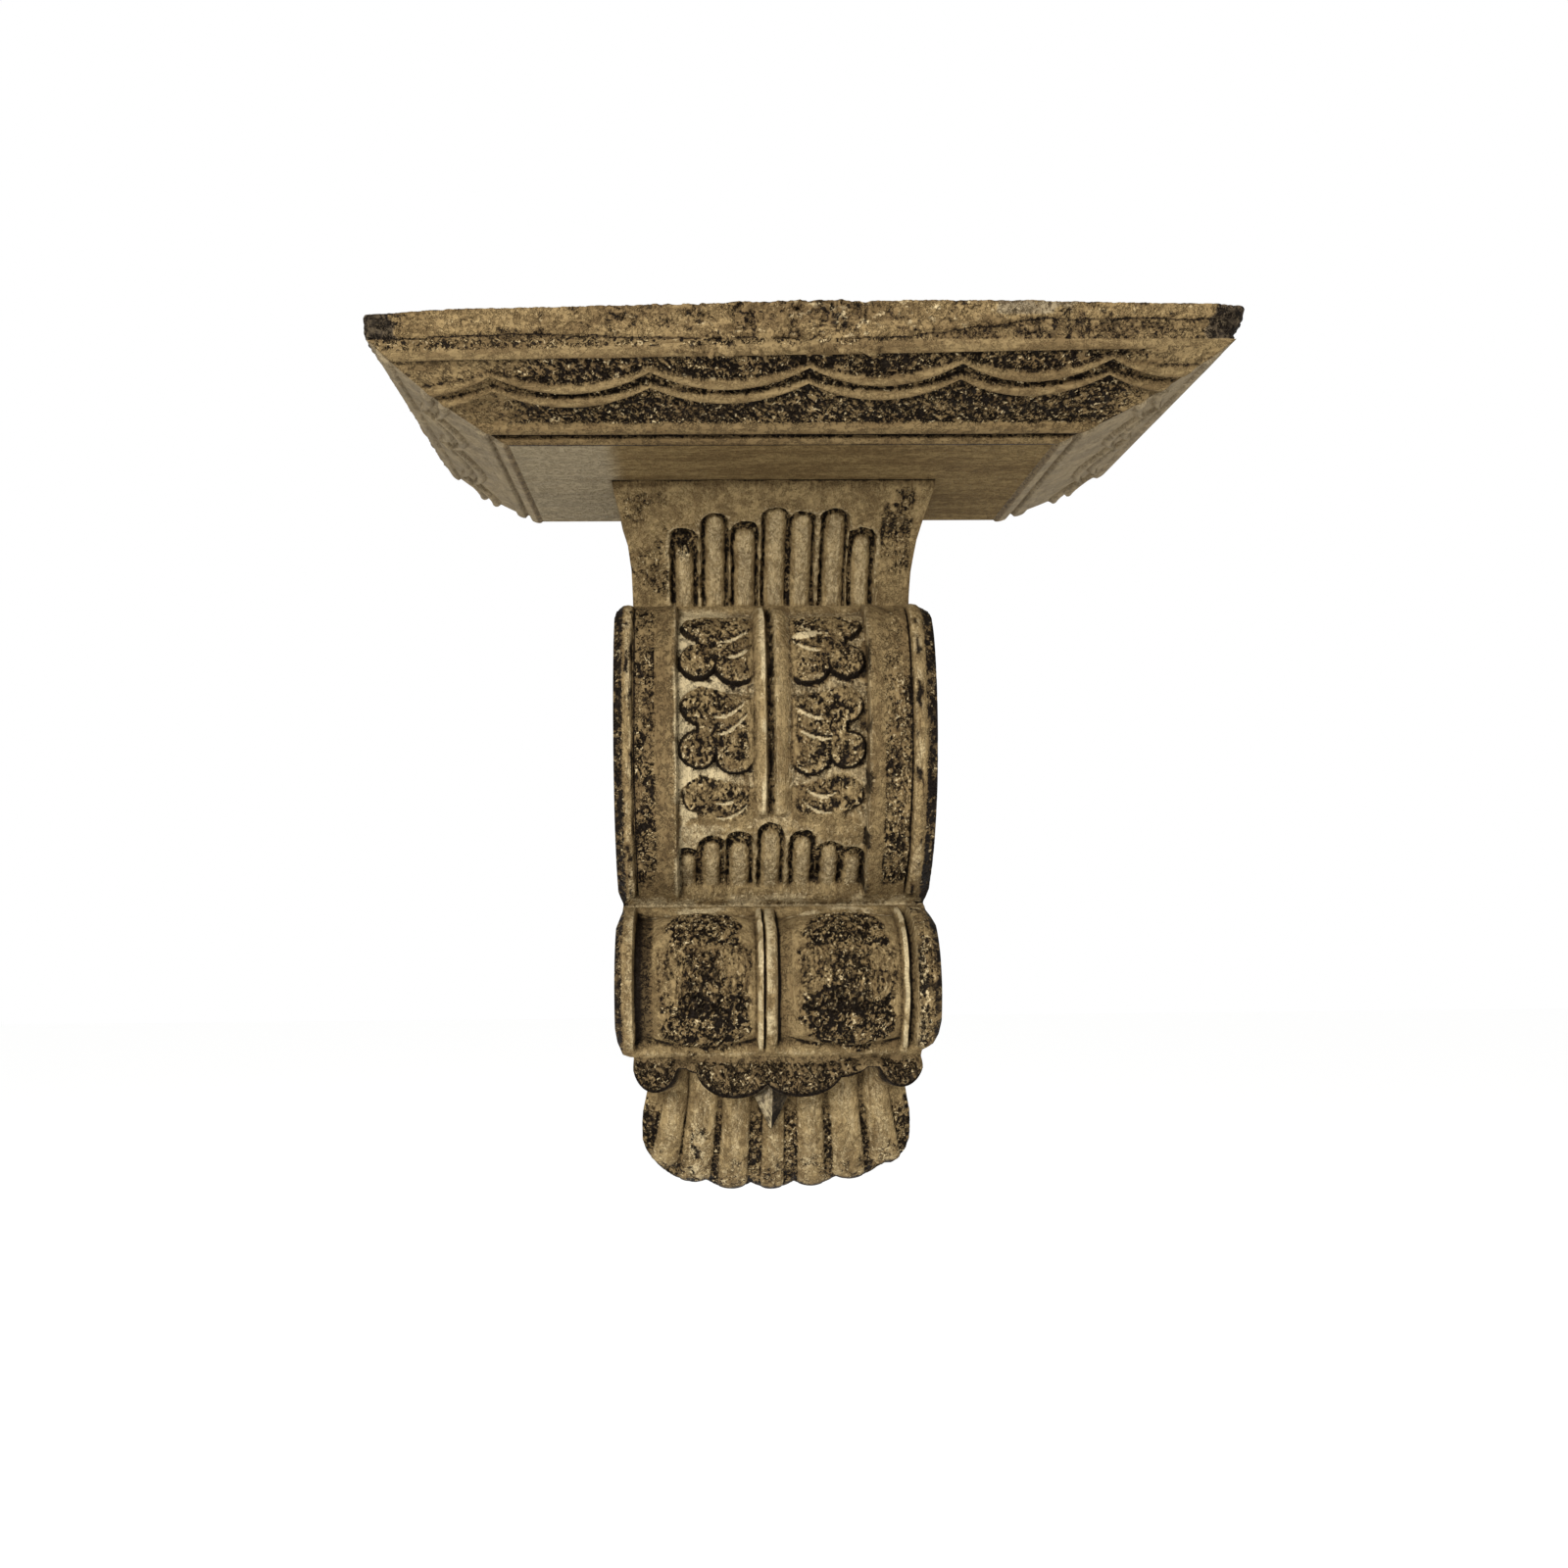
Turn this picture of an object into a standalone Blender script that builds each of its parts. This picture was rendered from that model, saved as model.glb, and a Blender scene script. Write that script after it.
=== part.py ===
"""Carved wooden corbel shelf: a moulded shelf board on a scrolled corbel.

Metres, +Z up. The wall is the plane y = 0 and the object stands out from it towards -Y.
The origin is the middle of the corbel's flat back, where it is fixed to the wall.
"""
import bpy
import bmesh
import numpy as np

# Driving sizes of the shelf board
SHELF_WIDTH = 0.3000
SHELF_DEPTH = 0.1616
SHELF_SHIFT = 0.0065
EDGE_HEIGHT = 0.0135
LIP_DEPTH = 0.0010
LEFT_FLARE = 0.0006
RIGHT_FLARE = 0.0022
CORNER_RADIUS = 0.0040
MOULDING_DROP = 0.0247
LEFT_INSET = 0.0434
RIGHT_INSET = 0.0547
FRONT_INSET = 0.0414
MOULDING_SWELL = 0.0030
RAIL_HEIGHT = 0.0014
SWAG_SAG = 0.0070
SWAG_WIDTH = 0.0031
MITRE_FADE = 0.0030

# Driving sizes of the corbel
CORBEL_HEIGHT = 0.2934
CORBEL_PROJECTION = 0.0720
CORBEL_WIDTH = 0.1306
NECK_WIDTH = 0.1172
WAIST_WIDTH = 0.1270
VALANCE_WIDTH = 0.1166
LEAF_WIDTH = 0.1115
SIDE_RECESS = 0.0020

# Where the two pieces sit: the soffit lies on the corbel's top, and both have their backs on the wall
JOINT_GAP = 0.0003
CORBEL_TOP = CORBEL_HEIGHT / 2
SOFFIT_LEVEL = CORBEL_TOP + JOINT_GAP
EDGE_FOOT = SOFFIT_LEVEL + MOULDING_DROP
SHELF_TOP = EDGE_FOOT + EDGE_HEIGHT

# The corbel's carving is drawn in parts of its own block: across, out from the wall and down.
# One part is a millimetre at the real size.
PARTS_ACROSS, PARTS_OUT, PARTS_DOWN = 130.6, 72.0, 293.4
ACROSS = CORBEL_WIDTH / PARTS_ACROSS
OUT = CORBEL_PROJECTION / PARTS_OUT
DOWN = CORBEL_HEIGHT / PARTS_DOWN

# Side outline, as (out, down) points of smooth stretches that meet at creases
CAP_AND_NECK = [(71.2, 0), (70.6, 4), (62, 11), (50.5, 20), (41, 31), (36, 39.5), (35, 45)]
UPPER_SCROLL = [(35, 45), (44, 45.8), (53, 48.3), (60.5, 55), (66.5, 66.5), (70.2, 82.5), (71, 100),
                (69.5, 116), (65.5, 131), (59, 145), (50, 157), (40, 166.5), (33, 172)]
LOWER_SCROLL = [(33, 172), (43, 173), (53, 176), (62, 182), (68.5, 190.5), (71.6, 200),
                (72, 207), (70, 217), (64.5, 226), (57, 232)]
VALANCE = [(57, 232), (56.5, 234.5), (60, 238.5), (61.5, 243), (61, 247)]
LEAF = [(50, 232), (48.5, 240), (46.5, 248), (44, 256), (39.5, 268), (32, 280), (20.5, 293.4)]

# Half width at each level, as (level, size that it follows, change)
BLOCK_WIDTHS = [(0, CORBEL_WIDTH, 0), (4, CORBEL_WIDTH, -0.7), (11, CORBEL_WIDTH, -2.9),
                (20, NECK_WIDTH, 1.6), (31, NECK_WIDTH, 0.3), (45.2, NECK_WIDTH, 0),
                (46.2, CORBEL_WIDTH, -2.7), (48, CORBEL_WIDTH, -0.7), (52, CORBEL_WIDTH, 0),
                (167, CORBEL_WIDTH, 0), (171.5, WAIST_WIDTH, 0), (173.2, WAIST_WIDTH, 0),
                (175.5, CORBEL_WIDTH, -1.0), (178, CORBEL_WIDTH, 0), (221, CORBEL_WIDTH, 0),
                (227, CORBEL_WIDTH, -0.8), (231, CORBEL_WIDTH, -2.8), (232.6, VALANCE_WIDTH, 0),
                (247, VALANCE_WIDTH, 0)]
LEAF_WIDTHS = [(232, LEAF_WIDTH, -3.6), (247, LEAF_WIDTH, -2.4), (257, LEAF_WIDTH, -0.4),
               (262, LEAF_WIDTH, 0), (270, LEAF_WIDTH, 0), (274, LEAF_WIDTH, -1.2),
               (277, LEAF_WIDTH, -3.6), (279, LEAF_WIDTH, -7.0)]

# The right disc of the lower scroll ends a little higher than the left one: by how much, and from
# which level to which the difference grows
DISC_LIFT = 2.6
DISC_LIFT_LEVELS = (205, 224)

# Carving of the neck: reeds in a sunk panel, as (centre, half width, top of the arch, top of the reed)
NECK_REEDS = [(-36.7, 3.9, 23.3, 33.0), (-23.8, 4.2, 15.6, 18.1), (-11.3, 4.5, 19.7, 24.9),
              (1.3, 4.4, 12.7, 14.2), (12.3, 4.4, 14.5, 17.8), (25.8, 4.4, 13.3, 16.8),
              (37.6, 3.8, 23.1, 28.2)]
NECK_ARCH_HALF = 6.4
NECK_SINK = 3.2

# Carving of the upper scroll: sections as (distance across, height), the first from its middle line
SCROLL_MIDDLE = -1.2
SCROLL_SECTION = [(0, -4.6), (38.2, -4.6), (39.2, 0.2), (42, -0.2), (47.5, -1.2), (55.6, -1.4),
                  (56.4, -2.3), (57.2, 0), (61, 0), (62.5, -0.6), (66.4, -2.6)]
PANEL_HALF = 38.8
RIB_SECTION = [(-9, 0), (-6.8, 3.4), (-4.2, 3.6), (-3.2, -0.6), (-1.4, -2.2), (-0.4, -0.6),
               (0.6, 3.2), (3.6, 2.8), (7, 0)]
RIB_FADE = (170.6, 174.6)
LEAF_TIERS = [79.6, 117.1, 154.6]
TIER_HEIGHT = 27.5
TIER_INNER, TIER_OUTER = 7.0, 30.5
TIER_LOBES = [(29.6, 8.4, 7.6), (30.2, 27.0, 8.0), (16.6, 29.2, 9.4)]
TIER_THICK = [3.4, 3.4, 2.2]
VEINS = [(8.5, 10.5, 22.5, 16.5), (8.5, 18.0, 21.5, 24.5)]
SMALL_REEDS = [(-36.2, 3.8, 188.9, 192.9), (-26.2, 4.0, 182.4, 186.6), (-14.6, 4.5, 180.3, 186.7),
               (-1.8, 4.4, 176.4, 179.5), (11.3, 4.1, 180.0, 184.1), (22.7, 3.9, 185.6, 188.5),
               (32.0, 3.9, 188.6, 194.2)]
SMALL_ARCH_HALF = 6.0
SMALL_SINK = 2.8
SMALL_END = 211.6
WAIST_SINK = 1.4

# Carving of the lower scroll: its section from left to right, and its drums as (centre, half width)
DRUM_SECTION = [(-65.3, -2.5), (-63, -0.8), (-61.6, 0), (-58.2, -0.2), (-57.4, -4.6),
                (-54.8, -5.0), (-54.0, -1.8), (-52.6, -2.2), (-50, -3.4), (-8.6, -3.4),
                (-7.4, -1.0), (-5.8, -0.6), (-5.2, -3.0), (-4.4, -0.8), (-1.0, -0.6), (-0.2, -1.6),
                (0.5, -5.0), (1.8, -5.0), (2.6, -3.2), (6, -3.4), (49.4, -3.4), (50.6, -1.0),
                (52.2, -0.8), (52.9, -4.6), (54.6, -4.8), (56.0, -0.2), (59.8, 0), (61.5, -0.6),
                (65.3, -2.5)]
DRUMS = [(-29.3, 20.7), (27.8, 21.6)]
DRUM_SWELL = 3.5

# Lobes of the hanging edge, as (centre, half width, lowest level), and the level between them
VALANCE_LOBES = [(-49.6, 9.0, 246.0), (-17.5, 15.5, 248.6), (9.5, 17.0, 248.2), (49.8, 9.2, 244.6)]
VALANCE_NOTCH = 234.6
LOBE_DEPTH = 12.0
VALANCE_LEVEL = 240.0

# The bottom leaf: reeds as (centre, half width, lowest level), and the pointed tongue over its middle
LEAF_REEDS = [(-47.5, 5.0, 279.8), (-34.5, 6.4, 289.4), (-18.5, 6.0, 293.1), (-1.4, 4.6, 293.4),
              (15.4, 5.6, 292.0), (31.5, 6.4, 288.6), (47.0, 5.6, 280.8)]
LEAF_SCALLOP_HALF = 8.2
SCALLOP_RISE = 2.5
LEAF_SINK = 2.8
LEAF_FAN = 0.13
LEAF_TOP = 248.0
LEAF_CORNER = 279.0
TONGUE_MIDDLE = -2.4
TONGUE_SHAPE = [(241, 1.0), (249.2, 7.3), (263.4, 0.4)]
TONGUE_RIDGE = [(241, 60.5), (249.2, 59.0), (263.4, 46.0)]
TONGUE_WALL = 0.35

# Scroll eyes on the sides, as (out, down, radius)
SCROLL_EYES = [(42, 90, 9.0), (43, 202, 8.0)]
RIM_WIDTH = 7.5

# Number of grid lines in the carved surfaces, and the triangles that are kept of them
COLUMNS = 150
ROWS = 210
VALANCE_ROWS = 12
UNDER_ROWS = 5
LEAF_ROWS = 46
SIDE_STEPS = 14
CORBEL_TRIANGLES = 6700
SHELF_TRIANGLES = 3000
SHARP_ANGLE = 40

# The board's rough edge, by place across from 0 at the left to 1 at the right.
# Shares of its height: what is lost off the top arris, and where the lip's lower line runs.
EDGE_LOSS = [(0, 0.37), (0.10, 0.22), (0.21, 0.17), (0.48, 0), (0.75, 0), (0.97, 0.13), (1, 0.20)]
LIP_LINE = [(0, 0.02), (0.20, 0.17), (0.35, 0.03), (0.59, 0.03), (0.78, 0.53), (0.98, 0.53), (1, 0.25)]
LIP_SLOPE = 0.0010
TOP_EASE = 0.35
EDGE_ROWS = 7

# Bands of the moulding, as shares of its slope from the edge down to the soffit: rails as
# (start, end, climb to the right, place where it dies out), then the swags' two lines
RAILS = [(0.060, 0.150, 0.10, 0.92), (0.735, 0.835, 0.0, 0.99), (0.885, 0.990, 0.0, 0.99)]
SWAG_LINES = [0.262, 0.385]
SWAG_CLIMB = 0.18
SWAG_PEAKS = [-0.049, 0.137, 0.322, 0.508, 0.686, 0.860, 1.035]
SIDE_SWAG_PEAKS = [-0.10, 0.152, 0.483, 0.725, 1.05]
SWAG_TIP = 0.55
SLOPE_ROWS = 56
FRONT_STEPS = 170
BOARD_SIDE_STEPS = 90

PAINT = (0.300, 0.232, 0.140, 1.0)
EDGE_PAINT = (0.330, 0.250, 0.145, 1.0)
PAINT_ROUGHNESS = 0.7


def clear_scene():
    for item in list(bpy.data.objects):
        bpy.data.objects.remove(item, do_unlink=True)


def material(name, colour):
    finish = bpy.data.materials.new(name)
    finish.use_nodes = True
    shader = finish.node_tree.nodes["Principled BSDF"]
    shader.inputs["Base Color"].default_value = colour
    shader.inputs["Roughness"].default_value = PAINT_ROUGHNESS
    shader.inputs["Metallic"].default_value = 0.0
    return finish


def step(value, start, end):
    """0 before start, 1 after end, with a smooth rise between: t*t*(3 - 2t)."""
    t = np.clip((value - start) / (end - start), 0.0, 1.0)
    return t * t * (3.0 - 2.0 * t)


def dome(offset, half_width):
    """Round-backed ridge: the square root of 1 - (offset / half_width) squared."""
    return np.sqrt(np.clip(1.0 - (offset / half_width) ** 2, 0.0, 1.0))


def table(value, points):
    """Straight lines between the points of a list of (value, result)."""
    known = np.array(points, dtype=float)
    return np.interp(value, known[:, 0], known[:, 1])


def smooth_curve(points, steps=16):
    """A cubic through the points, which takes its slope at each from the two beside it."""
    known = np.array(points, dtype=float)
    known = np.vstack([2 * known[0] - known[1], known, 2 * known[-1] - known[-2]])
    t = np.linspace(0.0, 1.0, steps, endpoint=False)[:, None]
    runs = []
    for a, b, c, d in zip(known, known[1:], known[2:], known[3:]):
        runs.append(0.5 * (2 * b + (c - a) * t + (2 * a - 5 * b + 4 * c - d) * t ** 2
                           + (3 * b - 3 * c + d - a) * t ** 3))
    return np.vstack(runs + [known[-2:-1]])


def arc_length(curve):
    return np.concatenate([[0.0], np.cumsum(np.hypot(*np.diff(curve, axis=0).T))])


class Outline:
    """The corbel's side outline from the cap to the valance, by distance along it in parts."""

    def __init__(self):
        stretches = [smooth_curve(points) for points in (CAP_AND_NECK, UPPER_SCROLL, LOWER_SCROLL)]
        self.curve = np.vstack([stretches[0]] + [stretch[1:] for stretch in stretches[1:]])
        self.along = arc_length(self.curve)
        self.neck_end = self.along[len(stretches[0]) - 1]
        self.waist = self.along[len(stretches[0]) + len(stretches[1]) - 2]
        self.end = self.along[-1]

    def point(self, along):
        return (np.interp(along, self.along, self.curve[:, 0]),
                np.interp(along, self.along, self.curve[:, 1]))

    def normal(self, along, reach=1.5):
        """Unit direction square to the outline, from the chord between points reach either side."""
        out_a, down_a = self.point(along - reach)
        out_b, down_b = self.point(along + reach)
        size = np.hypot(out_b - out_a, down_b - down_a)
        return (down_b - down_a) / size, (out_a - out_b) / size

    def distance(self, out, down):
        """Shortest distance of each point to the outline."""
        sample = self.curve[::4]
        gap = np.hypot(out[..., None] - sample[:, 0], down[..., None] - sample[:, 1])
        return gap.min(axis=-1)


OUTLINE = Outline()


def half_width(down, widths):
    """Half the width, in parts, at each level."""
    return table(down, [(level, size / ACROSS / 2 + change) for level, size, change in widths])


def reeded(across, along, reeds, arch_half, sink, end, fade):
    """Upright reeds in a panel that is sunk behind them, under a row of small arches."""
    panel = np.zeros_like(across)
    bodies = np.zeros_like(across)
    for centre, half, arch, top in reeds:
        beyond = np.clip(arch + arch_half - along, 0.0, None)
        inside = arch_half - np.hypot(across - centre, beyond)
        panel = np.maximum(panel, step(inside, 0.0, 1.2))
        beyond = np.clip(top + half - along, 0.0, None)
        bodies = np.maximum(bodies, dome(np.hypot(across - centre, beyond), half))
    low_end = 1.0 - step(along, end - fade, end)
    return (bodies * (sink - 0.3) - sink) * panel * low_end


def leaf_tiers(across, along):
    """Half leaves either side of the rib: lobes that meet in notches, thickest at the lower edge."""
    side = np.abs(across - SCROLL_MIDDLE)
    height = np.zeros_like(across)
    for top, thick in zip(LEAF_TIERS, TIER_THICK):
        level = along - top
        inside = np.minimum.reduce([side - TIER_INNER, TIER_OUTER - side, level + 2.0,
                                    TIER_HEIGHT - level])
        for centre, down, radius in TIER_LOBES:
            inside = np.maximum(inside, radius - np.hypot(side - centre, level - down))
        within = step(inside, 0.0, 1.1)
        wedge = 0.45 + 0.55 * step(level, 0.0, 12.0)
        shape = within * wedge * thick * step(side, TIER_INNER - 1.0, TIER_INNER + 4.0)
        for inner, inner_level, outer, outer_level in VEINS:
            t = (side - inner) / (outer - inner)
            middle = inner_level + (outer_level - inner_level) * t + 2.2 * (1 - (2 * t - 1) ** 2)
            cut = dome(t * 2 - 1, 1.0) * np.clip(1.0 - np.abs(level - middle) / 1.3, 0.0, 1.0)
            shape = shape - 0.9 * cut * within
        height = np.maximum(height, shape)
    return height


def upper_relief(across, along):
    """Height of the upper scroll's front above its outline, in parts.

    Its section runs down its whole length. Inside the panel, the rib and the leaves stand on the
    ground as far as the row of small reeds, and all of it fades to the plain waist.
    """
    offset = across - SCROLL_MIDDLE
    ground = table(np.abs(offset), SCROLL_SECTION)
    in_panel = step(PANEL_HALF - np.abs(offset), 0.0, 0.6)
    rib = table(across, RIB_SECTION) * (1.0 - step(along, *RIB_FADE))
    carved = np.maximum(rib, leaf_tiers(across, along)) + np.minimum(rib, 0.0)
    arch_line = table(across, [(centre, arch) for centre, _, arch, _ in SMALL_REEDS])
    above_reeds = 1.0 - step(along, arch_line - 1.0, arch_line + 2.0)
    reeds = reeded(across, along, SMALL_REEDS, SMALL_ARCH_HALF, SMALL_SINK, SMALL_END, 6.0)
    relief = ground + in_panel * (carved * above_reeds + reeds)
    waist = step(along, SMALL_END - 5.0, SMALL_END + 5.0)
    relief = relief * (1.0 - waist) - WAIST_SINK * waist
    return relief * step(along, OUTLINE.neck_end + 3.0, OUTLINE.neck_end + 12.0)


def lower_relief(across, along):
    """Height of the lower scroll's front: two drums between a rib and the side discs."""
    section = table(across, DRUM_SECTION)
    ends = step(along, OUTLINE.waist + 6.0, OUTLINE.waist + 22.0) * (
        1.0 - step(along, OUTLINE.end - 9.0, OUTLINE.end - 2.0))
    for centre, half in DRUMS:
        section = section + DRUM_SWELL * dome(across - centre, half) * ends
    return section * step(along, OUTLINE.waist + 1.0, OUTLINE.waist + 7.0) * (
        1.0 - step(along, OUTLINE.end - 6.0, OUTLINE.end - 1.0))


def front_relief(across, along):
    neck = reeded(across, along, NECK_REEDS, NECK_ARCH_HALF, NECK_SINK, OUTLINE.neck_end + 1.0, 3.0)
    upper = upper_relief(across, along)
    lower = lower_relief(across, along)
    return np.where(along < OUTLINE.neck_end, neck, np.where(along < OUTLINE.waist, upper, lower))


def valance_edge(across):
    """Level of the valance's lobed lower edge: round lobes that hang from a notch line."""
    edge = np.full_like(across, VALANCE_NOTCH)
    for centre, half, low in VALANCE_LOBES:
        edge = np.maximum(edge, low - LOBE_DEPTH * (1.0 - dome(across - centre, half)))
    return edge


def leaf_edge(across):
    """Level of the bottom leaf's scalloped end, one round scallop to a reed."""
    scallops = [low - SCALLOP_RISE * ((across - centre) / LEAF_SCALLOP_HALF) ** 2
                for centre, _, low in LEAF_REEDS]
    return np.maximum.reduce(scallops)


def tongue_surface(across, down):
    """How far out the tongue stands: a lozenge of two flat facets that meet in a sharp ridge."""
    half = np.interp(down, *np.array(TONGUE_SHAPE).T, left=0.01, right=0.01)
    keel = 1.0 - np.abs(across - TONGUE_MIDDLE) / half
    rise = np.where(keel > 0.0, TONGUE_WALL + (1.0 - TONGUE_WALL) * keel, 0.0)
    return rise, table(down, TONGUE_RIDGE)


def leaf_surface(across, down):
    """How far out the bottom leaf stands: its outline, its fan of reeds and the pointed tongue."""
    leaf = smooth_curve(LEAF)
    out = np.interp(down, leaf[:, 1], leaf[:, 0])
    end = leaf_edge(across)
    fall = np.clip((down - LEAF_TOP) / (end - LEAF_TOP), 0.0, 1.0)
    spread = across / (1.0 - LEAF_FAN + LEAF_FAN * fall)
    reeds = np.zeros_like(across)
    for centre, half, _ in LEAF_REEDS:
        reeds = np.maximum(reeds, dome(spread - centre, half))
    out = out - LEAF_SINK * (1.0 - reeds)
    out = out - 3.0 * (1.0 - dome(np.clip(down - end + 4.0, 0.0, 4.0), 4.2))
    rise, ridge = tongue_surface(across, down)
    return out + np.clip(ridge - out, 0.0, None) * rise


def corbel_front():
    """Grid of the carved front, from the cap down to the leaf's end, in parts."""
    span = np.linspace(-1.0, 1.0, COLUMNS)[None, :]
    along = np.linspace(0.0, OUTLINE.end, ROWS)[:, None]
    level = OUTLINE.point(along)[1]
    level = level + DISC_LIFT * step(level, *DISC_LIFT_LEVELS) * (span > 0.0)
    across = half_width(level, BLOCK_WIDTHS) * span
    along = np.broadcast_to(along, across.shape)
    out, down = OUTLINE.point(along)
    normal_out, normal_down = OUTLINE.normal(along)
    relief = front_relief(across, along)
    relief[0] = 0.0
    scroll = np.stack([across, out + relief * normal_out, down + relief * normal_down], axis=-1)

    flap = smooth_curve(VALANCE)
    share = np.linspace(0.0, 1.0, VALANCE_ROWS)[1:, None]
    block_half = half_width(VALANCE_LEVEL, BLOCK_WIDTHS)
    across = block_half * span * np.ones_like(share)
    edge = valance_edge(across)
    start = VALANCE[0][1]
    down = start + (edge - start) * share
    out = np.interp(share * arc_length(flap)[-1], arc_length(flap), flap[:, 0]) * np.ones_like(across)
    valance = np.stack([across, out, down], axis=-1)

    leaf_half = half_width(VALANCE_LEVEL, LEAF_WIDTHS)
    share = np.linspace(0.0, 1.0, UNDER_ROWS)[1:, None]
    across = span * (block_half + (leaf_half - block_half) * share)
    down = edge[-1:] + 1.2 * share
    out = out[-1:] * (1 - share) + leaf_surface(across, down) * share
    under = np.stack([across, out, down], axis=-1)

    share = np.linspace(0.0, 1.0, LEAF_ROWS)[1:, None]
    start = down[-1:]
    across = span * half_width(start + (LEAF_CORNER - start) * share, LEAF_WIDTHS)
    down = start + (leaf_edge(across) - start) * share
    leaf = np.stack([across, leaf_surface(across, down), down], axis=-1)
    return np.vstack([scroll, valance, under, leaf])


def corbel_side(edge):
    """Grid of a side, from the front's edge back to the wall, with a raised rim round the scrolls."""
    back = np.linspace(0.0, 1.0, SIDE_STEPS)[None, :]
    out = edge[:, 1:2] * (1.0 - back)
    down = edge[:, 2:3] * np.ones_like(back)
    inside = step(OUTLINE.distance(out, down), RIM_WIDTH, RIM_WIDTH + 1.5)
    zone = step(down, UPPER_SCROLL[0][1] + 9.0, UPPER_SCROLL[0][1] + 15.0) * (
        1.0 - step(down, VALANCE[0][1] - 14.0, VALANCE[0][1] - 8.0))
    for eye_out, eye_down, radius in SCROLL_EYES:
        inside = inside * step(np.hypot(out - eye_out, down - eye_down), radius - 1.0, radius + 0.5)
    recess = SIDE_RECESS / ACROSS * inside * zone * step(back, 0.0, 0.1)
    across = edge[:, 0:1] - np.sign(edge[:, 0:1]) * recess
    return np.stack([across, out, down], axis=-1)


def grid_faces(rows, columns):
    """Quads of a grid whose points are numbered row by row."""
    first = np.arange(rows * columns).reshape(rows, columns)
    corners = [first[:-1, :-1], first[:-1, 1:], first[1:, 1:], first[1:, :-1]]
    return np.stack(corners, axis=-1).reshape(-1, 4)


def solid_from_grids(name, grids, close):
    """Join grids that share their border points, close what is open, and turn every face out."""
    shape = bmesh.new()
    for grid in grids:
        points = [shape.verts.new(point) for point in grid.reshape(-1, 3)]
        for face in grid_faces(*grid.shape[:2]):
            shape.faces.new([points[corner] for corner in face])
    bmesh.ops.remove_doubles(shape, verts=shape.verts, dist=0.000002)
    bmesh.ops.dissolve_degenerate(shape, edges=shape.edges, dist=0.000002)
    close(shape)
    bmesh.ops.recalc_face_normals(shape, faces=shape.faces)
    mesh = bpy.data.meshes.new(name)
    shape.to_mesh(mesh)
    shape.free()
    item = bpy.data.objects.new(name, mesh)
    bpy.context.scene.collection.objects.link(item)
    return item


def fill_open_edges(shape, axis, level):
    """One flat face over the open edges that lie on a plane square to the axis."""
    edges = [edge for edge in shape.edges
             if edge.is_boundary and all(abs(v.co[axis] - level) < 0.000001 for v in edge.verts)]
    bmesh.ops.contextual_create(shape, geom=edges)


def reduce_faces(item, triangles, planes):
    """Keep the triangles that the carving needs, and set flat sides back on their planes."""
    count = sum(len(face.vertices) - 2 for face in item.data.polygons)
    modifier = item.modifiers.new("Facets", "DECIMATE")
    modifier.ratio = min(1.0, triangles / count)
    modifier.use_collapse_triangulate = True
    graph = bpy.context.evaluated_depsgraph_get()
    mesh = bpy.data.meshes.new_from_object(item.evaluated_get(graph))
    item.modifiers.clear()
    item.data = mesh
    mesh.name = item.name
    for vertex in mesh.vertices:
        for axis, level in planes:
            if abs(vertex.co[axis] - level) < JOINT_GAP / 2:
                vertex.co[axis] = level
    mesh.shade_smooth()
    mesh.set_sharp_from_angle(angle=np.radians(SHARP_ANGLE))


def make_corbel():
    front = corbel_front()
    left = corbel_side(front[:, 0])
    right = corbel_side(front[:, -1])
    back = np.linspace(0.0, 1.0, SIDE_STEPS)[:, None]
    last = front[-1]
    bottom = np.stack([last[:, 0] * np.ones_like(back), last[:, 1] * (1.0 - back),
                       last[:, 2] * np.ones_like(back)], axis=-1)
    left[-1] = bottom[:, 0]
    right[-1] = bottom[:, -1]
    grids = [np.stack([grid[..., 0] * ACROSS, -grid[..., 1] * OUT, CORBEL_TOP - grid[..., 2] * DOWN],
                      axis=-1) for grid in (front, left, right, bottom)]

    def close(shape):
        fill_open_edges(shape, 2, CORBEL_TOP)
        fill_open_edges(shape, 1, 0.0)

    item = solid_from_grids("corbel", grids, close)
    reduce_faces(item, CORBEL_TRIANGLES, [(1, 0.0), (2, CORBEL_TOP)])
    item.data.materials.append(material("corbel paint", PAINT))


def moulding_relief(share, place, length, hand, peaks):
    """Height of the rails and swags on the moulding.

    share runs down the slope and place along the side, both from 0 to 1. length is the slope's own.
    hand is how far the lines follow the carver's climb to the right. A rail is a round-backed ridge.
    A swag hangs from peak to peak as 4t(1 - t), and its lines are thinnest at the peaks.
    """
    height = np.zeros_like(share)
    for start, end, climb, fade in RAILS:
        middle = (start + end) / 2 - climb * hand * place
        rail = np.sqrt(dome(share - middle, (end - start) / 2))
        height = np.maximum(height, rail * (1.0 - hand * step(place, fade - 0.03, fade)))
    turn = np.interp(place, peaks, np.arange(len(peaks))) % 1.0
    sag = 4.0 * turn * (1.0 - turn)
    for line in SWAG_LINES:
        middle = line - SWAG_CLIMB * hand * place + sag * SWAG_SAG / length
        half = SWAG_WIDTH / length / 2 * (SWAG_TIP + (1.0 - SWAG_TIP) * sag)
        height = np.maximum(height, dome(share - middle, half))
    return height * RAIL_HEIGHT


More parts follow.
